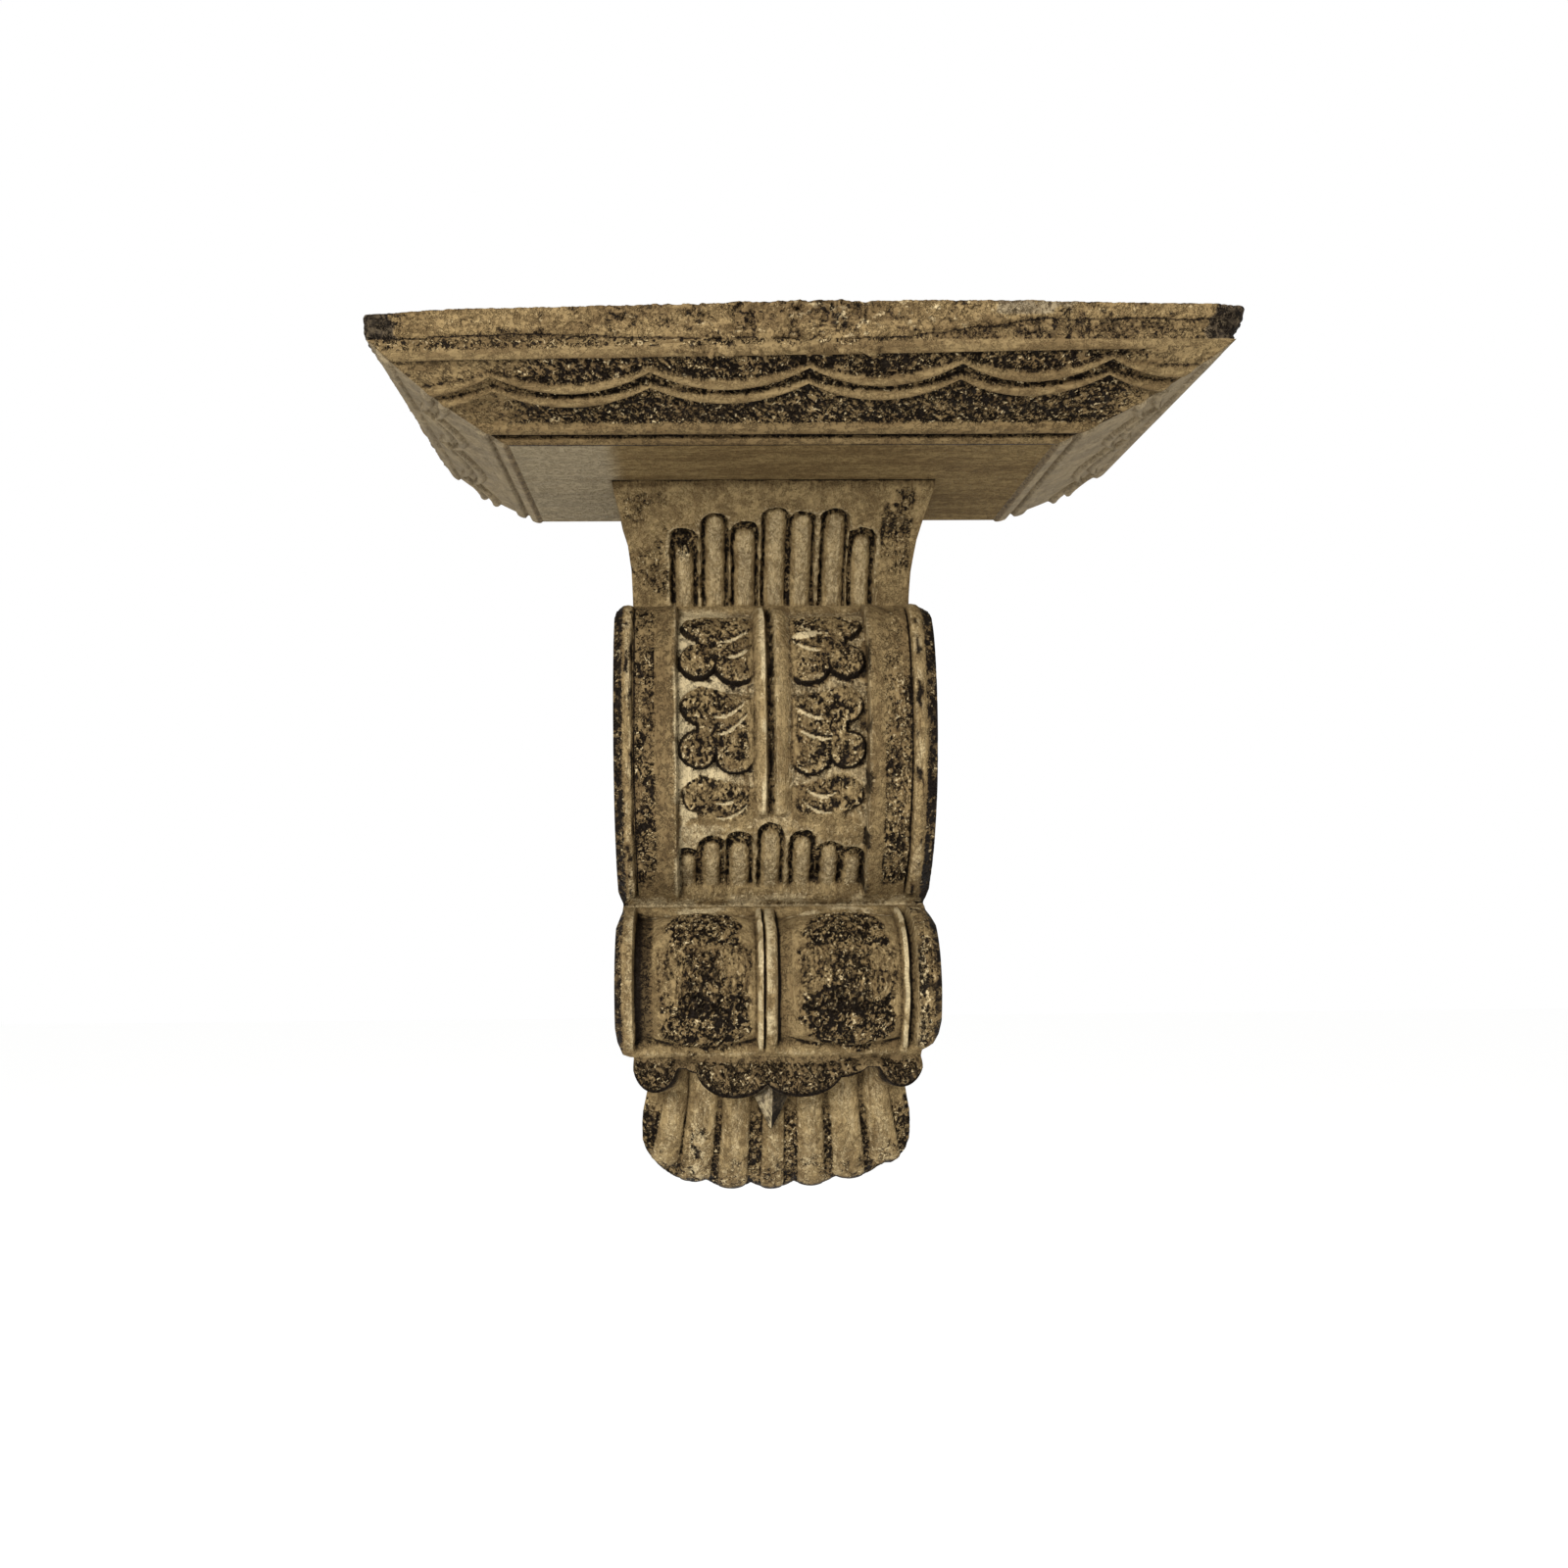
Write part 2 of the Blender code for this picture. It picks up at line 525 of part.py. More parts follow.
def edge_rows(place, corner):
    """The rough edge and the eased margin of the top, as rows of (inward share, level above its foot).

    The face leans out by its flare as it rises, its lip stands proud above the lip's line, and the
    corner is rounded. The margin climbs from the worn arris back to the flat top.
    """
    rise = np.linspace(1.0, 0.0, EDGE_ROWS)[:-1, None]
    height = EDGE_HEIGHT * (1.0 - table(place, EDGE_LOSS))
    level = rise * height
    lip = EDGE_HEIGHT * table(place, LIP_LINE)
    proud = LIP_DEPTH * step(level, lip, lip + LIP_SLOPE) / FRONT_INSET
    left, right = LEFT_FLARE / LEFT_INSET, RIGHT_FLARE / RIGHT_INSET
    flare = table(place, [(0, left), (0.8, left), (1, right)])
    round_off = 0.3 * CORNER_RADIUS / FRONT_INSET * np.clip(1.0 - corner / CORNER_RADIUS, 0.0, 1.0) ** 2
    inward = round_off - flare * rise - proud
    ease = np.array([1.0, 0.4])[:, None]
    margin = EDGE_HEIGHT - (EDGE_HEIGHT - height) * (1.0 - step(ease, 0.0, 1.0))
    return np.vstack([TOP_EASE * ease * np.ones_like(place), inward]), np.vstack([margin, level])


def shelf_surface():
    """Grid round three sides, from the flat top over the rough edge and down to the soffit."""
    left, right = SHELF_SHIFT - SHELF_WIDTH / 2, SHELF_SHIFT + SHELF_WIDTH / 2
    front = -SHELF_DEPTH
    outer = np.array([(left, 0.0), (left, front), (right, front), (right, 0.0)])
    inner = outer + np.array([(LEFT_INSET, 0.0), (LEFT_INSET, FRONT_INSET),
                              (-RIGHT_INSET, FRONT_INSET), (-RIGHT_INSET, 0.0)])
    share = np.linspace(0.0, 1.0, SLOPE_ROWS)[:, None]
    sides = [(LEFT_INSET, (-1.0, 0.0), BOARD_SIDE_STEPS), (FRONT_INSET, (0.0, -1.0), FRONT_STEPS),
             (RIGHT_INSET, (1.0, 0.0), BOARD_SIDE_STEPS)]
    strips = []
    for side, (inset, away, steps) in enumerate(sides):
        run = np.linspace(0.0, 1.0, steps)[None, :]
        edge = outer[side] + (outer[side + 1] - outer[side]) * run[..., None]
        across = inner[side] + (inner[side + 1] - inner[side]) * run[..., None] - edge
        from_corner = np.minimum(run if side > 0 else 1.0, 1.0 - run if side < 2 else 1.0)
        corner = from_corner * np.hypot(*(outer[side + 1] - outer[side]))
        inward, rise = edge_rows((edge[..., 0] - left) / SHELF_WIDTH, corner)
        face = np.concatenate([edge + across * inward[..., None], EDGE_FOOT + rise[..., None]], axis=-1)

        slope = edge + across * share[..., None]
        length = np.hypot(inset, MOULDING_DROP)
        if side == 1:
            place, hand, peaks = (slope[..., 0] - left) / SHELF_WIDTH, 1.0, SWAG_PEAKS
        else:
            place, hand, peaks = slope[..., 1] / front, 0.0, SIDE_SWAG_PEAKS
        relief = moulding_relief(share * np.ones_like(run), place, length, hand, peaks)
        relief = relief * step(corner, 0.0, MITRE_FADE)
        relief = relief * step(share, 0.0, 0.03) * (1.0 - step(share, 0.985, 1.0))
        swell = MOULDING_SWELL * 4.0 * share * (1.0 - share)
        level = EDGE_FOOT - MOULDING_DROP * share - relief * inset / length - swell
        lifted = slope + np.array(away) * (relief * MOULDING_DROP / length)[..., None]
        moulding = np.concatenate([lifted, level[..., None]], axis=-1)
        strips.append(np.vstack([face, moulding])[:, 1 if side else 0:])
    return np.hstack(strips)


def make_shelf():
    def close(shape):
        fill_open_edges(shape, 2, SHELF_TOP)
        fill_open_edges(shape, 2, SOFFIT_LEVEL)
        fill_open_edges(shape, 1, 0.0)

    item = solid_from_grids("shelf", [shelf_surface()], close)
    reduce_faces(item, SHELF_TRIANGLES, [(1, 0.0), (2, SHELF_TOP), (2, SOFFIT_LEVEL)])
    item.data.materials.append(material("shelf paint", EDGE_PAINT))


def main():
    clear_scene()
    make_corbel()
    make_shelf()


main()
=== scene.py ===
# %% [markdown]
# A carved corbel shelf is a moulded board on a scrolled bracket, cut from wood with gouges and
# painted twice: dark brown first, then a khaki wash that is rubbed back while it is wet.
# The frame holds the plain solids at their real size. Everything below is laid on them: each piece
# is drawn again as one surface worked out with numpy, fine enough to show the gouge marks, and the
# paint is worked out from the same numbers, so that dark paint lies where the carving is deep, and so
# does painted shade.

# %% The frame
import bpy
import numpy as np
from mathutils import Matrix, Vector


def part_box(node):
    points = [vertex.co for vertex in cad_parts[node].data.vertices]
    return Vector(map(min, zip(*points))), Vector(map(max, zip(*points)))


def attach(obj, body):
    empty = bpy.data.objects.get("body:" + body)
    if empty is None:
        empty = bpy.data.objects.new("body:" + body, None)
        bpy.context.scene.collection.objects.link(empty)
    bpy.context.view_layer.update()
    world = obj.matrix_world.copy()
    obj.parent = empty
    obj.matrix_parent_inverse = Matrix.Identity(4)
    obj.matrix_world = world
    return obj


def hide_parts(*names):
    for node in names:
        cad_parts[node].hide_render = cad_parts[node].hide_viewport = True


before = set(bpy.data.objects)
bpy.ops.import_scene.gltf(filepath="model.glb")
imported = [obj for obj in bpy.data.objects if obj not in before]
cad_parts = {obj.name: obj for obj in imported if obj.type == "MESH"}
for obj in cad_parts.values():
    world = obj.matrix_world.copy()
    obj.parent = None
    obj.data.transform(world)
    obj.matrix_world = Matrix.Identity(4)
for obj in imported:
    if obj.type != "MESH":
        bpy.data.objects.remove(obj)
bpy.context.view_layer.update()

corbel_low, corbel_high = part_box("corbel")
shelf_low, shelf_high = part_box("shelf")
print("corbel", [round(1000 * v) for v in corbel_high - corbel_low], "mm")
print("shelf", [round(1000 * v) for v in shelf_high - shelf_low], "mm")

# %% [markdown]
# Carving is made of a few shapes that come back everywhere: a soft step where a chisel stopped, a
# round back like a reed, a straight-line table for a section, and a smooth curve for an outline.
# They could be drawn with curves and bevels. As functions on whole arrays they can be added,
# cut and masked anywhere on the surface, which is what a carver's gouge does.

# %% Shapes of the gouge
def step(value, start, end):
    """0 before start, 1 after end, with a smooth rise between: t*t*(3 - 2t)."""
    t = np.clip((value - start) / (end - start), 0.0, 1.0)
    return t * t * (3.0 - 2.0 * t)


def between(value, start, end, soft):
    """1 between start and end, and 0 outside, with a smooth rise over soft at each end."""
    return step(value, start - soft, start) * (1.0 - step(value, end, end + soft))


def dome(offset, half_width):
    """Round-backed ridge: the square root of 1 - (offset / half_width) squared."""
    return np.sqrt(np.clip(1.0 - (offset / half_width) ** 2, 0.0, 1.0))


def table(value, points):
    """Straight lines between the points of a list of (value, result)."""
    known = np.array(points, dtype=float)
    return np.interp(value, known[:, 0], known[:, 1])


def smooth_curve(points, steps=24):
    """A cubic through the points, which takes its slope at each from the two beside it."""
    known = np.array(points, dtype=float)
    known = np.vstack([2 * known[0] - known[1], known, 2 * known[-1] - known[-2]])
    t = np.linspace(0.0, 1.0, steps, endpoint=False)[:, None]
    runs = []
    for a, b, c, d in zip(known, known[1:], known[2:], known[3:]):
        runs.append(0.5 * (2 * b + (c - a) * t + (2 * a - 5 * b + 4 * c - d) * t ** 2
                           + (3 * b - 3 * c + d - a) * t ** 3))
    return np.vstack(runs + [known[-2:-1]])


def arc_length(curve):
    return np.concatenate([[0.0], np.cumsum(np.hypot(*np.diff(curve, axis=0).T))])


def graded(start, end, count, places, width, gain):
    """Grid lines from start to end that crowd together near the places.

    Their density is 1 + gain times a bell curve, exp(-(distance / width) squared), round each place.
    """
    fine = np.linspace(start, end, 4000)
    density = 1.0 + gain * sum(np.exp(-((fine - place) / width) ** 2) for place in places)
    total = np.concatenate([[0.0], np.cumsum((density[1:] + density[:-1]) / 2)])
    return np.interp(np.linspace(0.0, total[-1], count), total, fine)


print("a reed's back at a quarter, half and full width:", dome(np.array([0.25, 0.5, 1.0]), 1.0))

# %% [markdown]
# Between the smooth parts the ground is stippled: the carver jabbed a small gouge all over it, and
# the jabs run into each other like worm tracks. A bump texture alone would give flat edges in the
# mesh, so the tracks are cut into the surface. Seeded noise gives them: smooth random hills, bent
# by other hills, with a pit wherever the bent hills pass through their middle height.

# %% Worm tracks and lumps
LATTICE = 256


def hills(u, v, seed):
    """Smooth noise from 0 to 1: random values on a square lattice, blended with t*t*(3 - 2t)."""
    lattice = np.random.default_rng(seed).random((LATTICE, LATTICE))
    row, column = np.floor(u).astype(int), np.floor(v).astype(int)
    a, b = u - row, v - column
    a, b = a * a * (3.0 - 2.0 * a), b * b * (3.0 - 2.0 * b)
    row, column = row % LATTICE, column % LATTICE
    next_row, next_column = (row + 1) % LATTICE, (column + 1) % LATTICE
    near = lattice[row, column] * (1.0 - b) + lattice[row, next_column] * b
    far = lattice[next_row, column] * (1.0 - b) + lattice[next_row, next_column] * b
    return near * (1.0 - a) + far * a


def layered(u, v, size, seed):
    """Three layers of hills, each half as wide and half as high as the one before, from 0 to 1."""
    total = sum(hills(u / size * 2 ** k, v / size * 2 ** k, seed + k) / 2 ** k for k in range(3))
    return total / 1.75


def wobble(u, v, seed):
    """Hills about nought, from -0.5 to 0.5."""
    return hills(u, v, seed) - 0.5


def unevenness(u, v, size, seed):
    """Layered hills about nought, from -0.5 to 0.5."""
    return layered(u, v, size, seed) - 0.5


def patches(u, v, seed, low, high):
    """Smooth patches: 0 where hills are under low, and 1 where they are over high."""
    return step(hills(u, v, seed), low, high)


def blotches(u, v, size, seed, low, high):
    """Ragged patches, from layered hills."""
    return step(layered(u, v, size, seed), low, high)


def tracks(u, v, size, stretch, seed):
    """Gouge tracks: 1 in a pit and 0 on the ground between.

    Hills are bent by wider hills, and a pit lies where they are within a band of their middle
    height. size is the width of a track and stretch how much longer it runs along v.
    """
    bend_u = hills(u / size / 2.2, v / size / 2.2, seed) * 2.6
    bend_v = hills(u / size / 2.2 + 31.7, v / size / 2.2, seed + 1) * 2.6
    ridge = hills(u / size / 1.5 + bend_u, v / size / stretch / 1.5 + bend_v, seed + 2)
    broken = hills(u / size, v / size / stretch, seed + 3)
    return step(1.0 - np.abs(2.0 * ridge - 1.0) + 0.5 * (broken - 0.5), 0.56, 0.84)


def blurred(grid, reach):
    """Average over the neighbours within reach, taken twice each way, close to a bell curve."""
    for axis in (0, 1, 0, 1):
        count = grid.shape[axis]
        ends = [(0, 0), (0, 0)]
        ends[axis] = (reach + 1, reach)
        sums = np.cumsum(np.pad(grid, ends, mode="edge"), axis=axis)
        high = np.take(sums, np.arange(count) + 2 * reach + 1, axis=axis)
        low = np.take(sums, np.arange(count), axis=axis)
        grid = (high - low) / (2 * reach + 1)
    return grid


print("share of the ground that tracks cover:",
      round(float(tracks(*np.mgrid[0:90:300j, 0:90:300j], 1.6, 1.0, 5).mean()), 2))

# %% [markdown]
# The corbel is one block. From the side it is a cap on a hollow neck, a large scroll, a small
# scroll, and a leaf that runs down to the wall. It could be built as a side profile pushed across
# its width and then sculpted. Here its front is one sheet: one way along the side outline, the
# other way across, and the carving is a height above that sheet, square to it.
# The outline is drawn in millimetres as (out from the wall, down from the cap).

# %% The corbel's outline and widths
DRAWN_HEIGHT = 293.4
PART = (corbel_high.z - corbel_low.z) / DRAWN_HEIGHT
CAP_AND_NECK = [(71.2, 0), (70.6, 4), (62, 11), (50.5, 20), (41, 31), (36, 39.5), (35, 45)]
UPPER_SCROLL = [(35, 45), (44, 45.8), (53, 48.3), (60.5, 55), (66.5, 66.5), (70.2, 82.5), (71, 100),
                (69.5, 116), (65.5, 131), (59, 145), (50, 157), (40, 166.5), (33, 172)]
LOWER_SCROLL = [(33, 172), (43, 173), (53, 176), (62, 182), (68.5, 190.5), (71.6, 200),
                (72, 207), (70, 217), (64.5, 226), (57, 232)]
VALANCE = [(57, 232), (56.5, 234.5), (60, 238.5), (61.5, 243), (61, 247)]
LEAF = [(50, 232), (48.5, 240), (46.5, 248), (44, 256), (39.5, 268), (32, 280), (20.5, 293.4)]

FULL, NECK, WAIST, VALANCE_HALF, LEAF_HALF = 65.3, 58.6, 63.5, 58.3, 55.75
# Half widths of the block and of the leaf, as (level, half width).
BLOCK_WIDTHS = [(0, FULL), (4, FULL - 0.7), (11, FULL - 2.9), (20, NECK + 1.6), (31, NECK + 0.3),
                (45.2, NECK), (46.2, FULL - 2.7), (48, FULL - 0.7), (52, FULL), (167, FULL),
                (171.5, WAIST), (173.2, WAIST), (175.5, FULL - 1.0), (178, FULL), (221, FULL),
                (227, FULL - 0.8), (231, FULL - 2.8), (232.6, VALANCE_HALF), (247, VALANCE_HALF)]
LEAF_WIDTHS = [(232, LEAF_HALF - 3.6), (247, LEAF_HALF - 2.4), (257, LEAF_HALF - 0.4),
               (262, LEAF_HALF), (270, LEAF_HALF), (274, LEAF_HALF - 1.2), (277, LEAF_HALF - 3.6),
               (279, LEAF_HALF - 7.0)]
DISC_LIFT = 2.6
DISC_LIFT_LEVELS = (205, 224)

stretches = [smooth_curve(points) for points in (CAP_AND_NECK, UPPER_SCROLL, LOWER_SCROLL)]
outline = np.vstack([stretches[0], stretches[1][1:], stretches[2][1:]])
outline_along = arc_length(outline)
NECK_END = outline_along[len(stretches[0]) - 1]
WAIST_AT = outline_along[len(stretches[0]) + len(stretches[1]) - 2]
END_AT = outline_along[-1]


def outline_point(along):
    return tuple(np.interp(along, outline_along, outline[:, axis]) for axis in (0, 1))


def outline_normal(along, reach=1.2):
    """Unit direction square to the outline, from the chord between points reach either side."""
    out_a, down_a = outline_point(along - reach)
    out_b, down_b = outline_point(along + reach)
    size = np.hypot(out_b - out_a, down_b - down_a)
    return (down_b - down_a) / size, (out_a - out_b) / size


def outline_distance(out, down):
    """Shortest distance of each point to the outline."""
    nearest = np.full(out.shape, np.inf)
    for point in outline[::5]:
        nearest = np.minimum(nearest, np.hypot(out - point[0], down - point[1]))
    return nearest


print("the front measures", round(END_AT), "mm along the outline, neck to", round(NECK_END),
      "and waist at", round(WAIST_AT))

# %% [markdown]
# Every carved part answers with a Carving: how high it stands, and what the painter left there.
# dark is bare under-paint and also painted shade, pale is a rubbed edge and also a painted
# highlight, grain is how rough the wood is, and tint runs from grey (-1) to ochre (+1). The paint
# could be drawn on afterwards, over the finished shape. Keeping the height and the four marks
# together means that no stroke can drift off the shape it belongs to.

# %% A carving and its paint
MARKS = ("dark", "pale", "grain", "tint")
# How pale a pit's rim is rubbed, as wear and as a painted highlight, and where that rim lies.
RIM_WEAR_AND_HIGHLIGHT, RIM_OF_PIT = 0.42, (0.05, 0.30, 0.05)
SHALLOW, HOLLOW_FROM, EDGE_FROM = 0.6, 0.15, 0.10


class Carving:
    """Arrays of one shape: height in millimetres, and the four marks of the paint."""

    def __init__(self, shape):
        for name in ("height",) + MARKS:
            setattr(self, name, np.zeros(shape))

    def stipple(self, zone, pits, depth, strength=0.9):
        """Cuts pits of a depth where the zone is 1, leaves them dark, rubs their rims to a painted
        highlight.
        """
        self.cut(depth * zone * pits)
        self.stain_and_shade(strength * zone * pits)
        self.rub_and_highlight(RIM_WEAR_AND_HIGHLIGHT * zone * between(pits, *RIM_OF_PIT))
        self.roughen(zone)

    def lift(self, amount):
        self.height = self.height + amount

    def cut(self, amount):
        self.height = self.height - amount

    def stain_and_shade(self, amount):
        """Leaves at least this much of the dark coat bare; the same mark paints shade."""
        self.dark = np.maximum(self.dark, amount)

    def rub_and_highlight(self, amount):
        """Rubs the wash down to cream at least this much; the same mark paints highlights."""
        self.pale = np.maximum(self.pale, amount)

    def roughen(self, amount):
        self.grain = np.maximum(self.grain, amount)

    def choose(self, other, share):
        """Blends to another carving by a share from 0 to 1."""
        for name in ("height",) + MARKS:
            mixed = getattr(self, name) * (1.0 - share) + getattr(other, name) * share
            setattr(self, name, mixed)


def weathered_and_shaded(carving, cells, dirt_and_shade=0.5, wear_and_highlight=0.35):
    """Adds paint that follows from the shape: painted shade in narrow hollows, painted highlight on
    edges.

    A hollow lies lower, and an edge higher, than the blurred surface round it. cells is the reach of
    the blur in grid cells; the last two arguments are how much dark goes into the one, as dirt and
    shade, and how much pale onto the other, as wear and highlight.
    """
    lift = carving.height - blurred(carving.height, cells)
    hollow_dark_and_shade = np.clip(-lift / SHALLOW - HOLLOW_FROM, 0.0, 1.0)
    edge = np.clip(lift / SHALLOW - EDGE_FROM, 0.0, 1.0)
    # Dark coat and painted shade in the hollows, rubbed wash and painted highlight on the edges.
    carving.stain_and_shade(dirt_and_shade * hollow_dark_and_shade)
    carving.rub_and_highlight(wear_and_highlight * edge * (1.0 - 0.5 * carving.grain))
    return carving


def stacked(carvings):
    """One Carving from several of the same width, one below the other."""
    whole = Carving((1, 1))
    for name in ("height",) + MARKS:
        setattr(whole, name, np.vstack([getattr(carving, name) for carving in carvings]))
    return whole


trial = Carving((3,))
trial.stipple(np.ones(3), np.array([0.0, 0.2, 1.0]), 0.8)
for name in ("height", "dark", "pale"):
    print(name, "on the ground, on the rim and in the pit:", getattr(trial, name).round(2).tolist())

# %% [markdown]
# The neck and the foot of the upper scroll have rows of reeds, round-backed like the pipes of an
# organ, standing in panels sunk under small arches. Single reeds could be separate tubes. In one
# block the panel is cut first and each reed is what the carver leaves, so a reed is a round ridge
# whose rounded end is the distance to its top point.

# %% Rows of reeds
# A reed is its middle, its half width, the level of its arch, and that of its own round top.
NECK_REEDS = [(-36.7, 3.9, 23.3, 33.0), (-23.8, 4.2, 15.6, 18.1), (-11.3, 4.5, 19.7, 24.9),
              (1.3, 4.4, 12.7, 14.2), (12.3, 4.4, 14.5, 17.8), (25.8, 4.4, 13.3, 16.8),
              (37.6, 3.8, 23.1, 28.2)]
SMALL_REEDS = [(-36.2, 3.5, 188.9, 193.2), (-26.2, 3.7, 182.4, 186.9), (-14.6, 4.1, 180.3, 186.9),
               (-1.8, 4.1, 176.4, 180.1), (11.3, 3.8, 180.0, 184.4), (22.7, 3.6, 185.6, 188.9),
               (32.0, 3.6, 188.6, 194.4)]
NECK_ARCH_HALF, NECK_SINK = 6.2, 3.2
SMALL_ARCH_HALF, SMALL_SINK, SMALL_END = 6.0, 2.8, 214.0
# A zone is its start, its end and how soft its border is, as between takes them.
ROUGH_LEFT = ((-60.0, -44.0, 2.0), (7.0, 54.0, 4.0))
ROUGH_RIGHT = ((45.5, 57.0, 1.5), (5.0, 44.0, 4.0))


def reeded(across, along, reeds, arch_half, sink, end, fade, seed):
    """Reeds in a sunk panel: round backs as high as the ground, dark stippled gaps between them."""
    carving = Carving(across.shape)
    panel = np.zeros_like(across)
    inside_arch = np.full_like(across, -9.0)
    bodies = np.zeros_like(across)
    wander = 0.8 * wobble(along / 6.0, across / 6.0, seed)
    wander = wander + 0.7 * wobble(along / 1.9, across / 1.9, seed + 9)
    for centre, half, arch, top in reeds:
        beyond = np.clip(arch + arch_half - along, 0.0, None)
        inside = arch_half - np.hypot(across - centre, beyond) + wander
        inside_arch = np.maximum(inside_arch, inside)
        panel = np.maximum(panel, step(inside, 0.0, 0.9))
        beyond = np.clip(top + half - along, 0.0, None)
        slim = half * (0.84 + 0.18 * step(along, top, top + 9.0))
        bodies = np.maximum(bodies, dome(np.hypot(across + 0.5 * wander - centre, beyond), slim))
    low_end = 1.0 - step(along, end - fade, end)
    carving.height = (bodies * (sink - 0.3) - sink) * panel * low_end
    gap = panel * low_end * (1.0 - step(bodies, 0.10, 0.45))
    carving.stipple(gap, 0.35 + 0.65 * tracks(across, along, 0.9, 1.4, seed + 4), 0.6, 0.92)
    carving.grain = np.maximum(carving.grain * gap, 0.12 * panel)
    carving.rub_and_highlight(0.50 * step(bodies, 0.55, 0.90) * panel * low_end)
    carving.rub_and_highlight(0.55 * between(inside_arch, -1.1, -0.5, 0.4) * low_end)
    flaws = blotches(across, along, 4.0, seed + 6, 0.62, 0.72) * panel * low_end
    carving.cut(0.30 * flaws)
    carving.stain_and_shade(0.30 * flaws)
    carving.inside = panel * low_end
    return carving


def neck_carving(across, along):
    """The cap and neck: reeds, with worn rough patches at the left and upright cracks at the right."""
    carving = reeded(across, along, NECK_REEDS, NECK_ARCH_HALF, NECK_SINK, NECK_END + 1.0, 3.0, 11)
    plain = 1.0 - carving.inside
    swell = 0.5 * unevenness(across, along, 14.0, 21)
    carving.lift(swell * plain)
    patchy = blotches(across, along, 8.0, 23, 0.42, 0.56)
    left, right = (between(across, *wide) * between(along, *long) * patchy
                   for wide, long in (ROUGH_LEFT, ROUGH_RIGHT))
    carving.stipple(left * plain, tracks(across, along, 1.1, 1.6, 25), 0.6, 0.48)
    carving.stipple(right * plain, tracks(across, along, 0.9, 5.5, 27), 0.7, 0.70)
    carving.grain = np.maximum(carving.grain * 0.6, 0.22 * plain)
    carving.stain_and_shade(0.20 * plain * blotches(across, along, 11.0, 28, 0.45, 0.62))
    worn = np.exp(-((across + 36.0) / 4.0) ** 2 - ((along - 34.0) / 5.5) ** 2)
    carving.stipple(worn * carving.inside, tracks(across, along, 1.2, 1.0, 29), 0.6, 0.9)
    seam = between(along, 0.0, 0.6, 0.4) * patches(across / 7.0, along / 9.0, 30, 0.15, 0.45)
    carving.stain_and_shade(0.78 * seam)
    return carving


print("neck reeds:", len(NECK_REEDS), "small reeds:", len(SMALL_REEDS))

# %% [markdown]
# The upper scroll has a sunk panel with three tiers of half leaves either side of a rib. Leaves
# could be modelled one by one and joined. As discs and a slab they are one distance: the nearest
# edge of any lobe. Their height grows towards the lower edge, where the wall is steep and painted
# black as its shadow, and each carries two crescent gouges, a pale painted highlight, partly fresh
# pale wood, above a painted shadow.

# %% The half leaves
SCROLL_MIDDLE = -1.2
# A tier has a top level, a thickness, and levels below its top where it fades.
LEAF_TIERS = [79.6, 117.1, 154.6]
TIER_THICK = [3.4, 3.4, 2.2]
TIER_FADES = [(90.0, 91.0), (90.0, 91.0), (13.0, 24.0)]
TIER_HEIGHT, TIER_INNER, TIER_OUTER = 27.5, 7.0, 30.5
# A lobe is its distance from the rib, its level below the tier's top, and its radius.
TIER_LOBES = [(29.4, 9.0, 7.8), (30.0, 27.3, 8.0), (14.9, 29.0, 8.9)]
TIER_SLANT = 6.0
# A vein is its tier, its side (-1 is left), and the distance and level of its two ends.
VEINS = [(0, -1, 8.3, 11.5, 21.6, 18.8), (0, -1, 7.7, 19.8, 18.9, 25.7), (0, 1, 10.2, 8.6, 23.5, 14.5),
         (0, 1, 7.8, 17.0, 20.4, 22.8), (1, -1, 11.3, 8.1, 24.7, 13.6), (1, -1, 10.1, 12.5, 23.5, 21.1),
         (1, 1, 8.3, 9.5, 24.8, 14.3), (1, 1, 8.6, 17.7, 24.7, 22.5), (2, -1, 12.0, 9.0, 25.0, 11.5),
         (2, -1, 10.0, 13.0, 23.0, 19.5), (2, 1, 13.3, 6.7, 26.0, 8.0), (2, 1, 11.4, 11.2, 24.9, 16.7)]
VEIN_BOW, VEIN_HALF = 2.4, 0.95


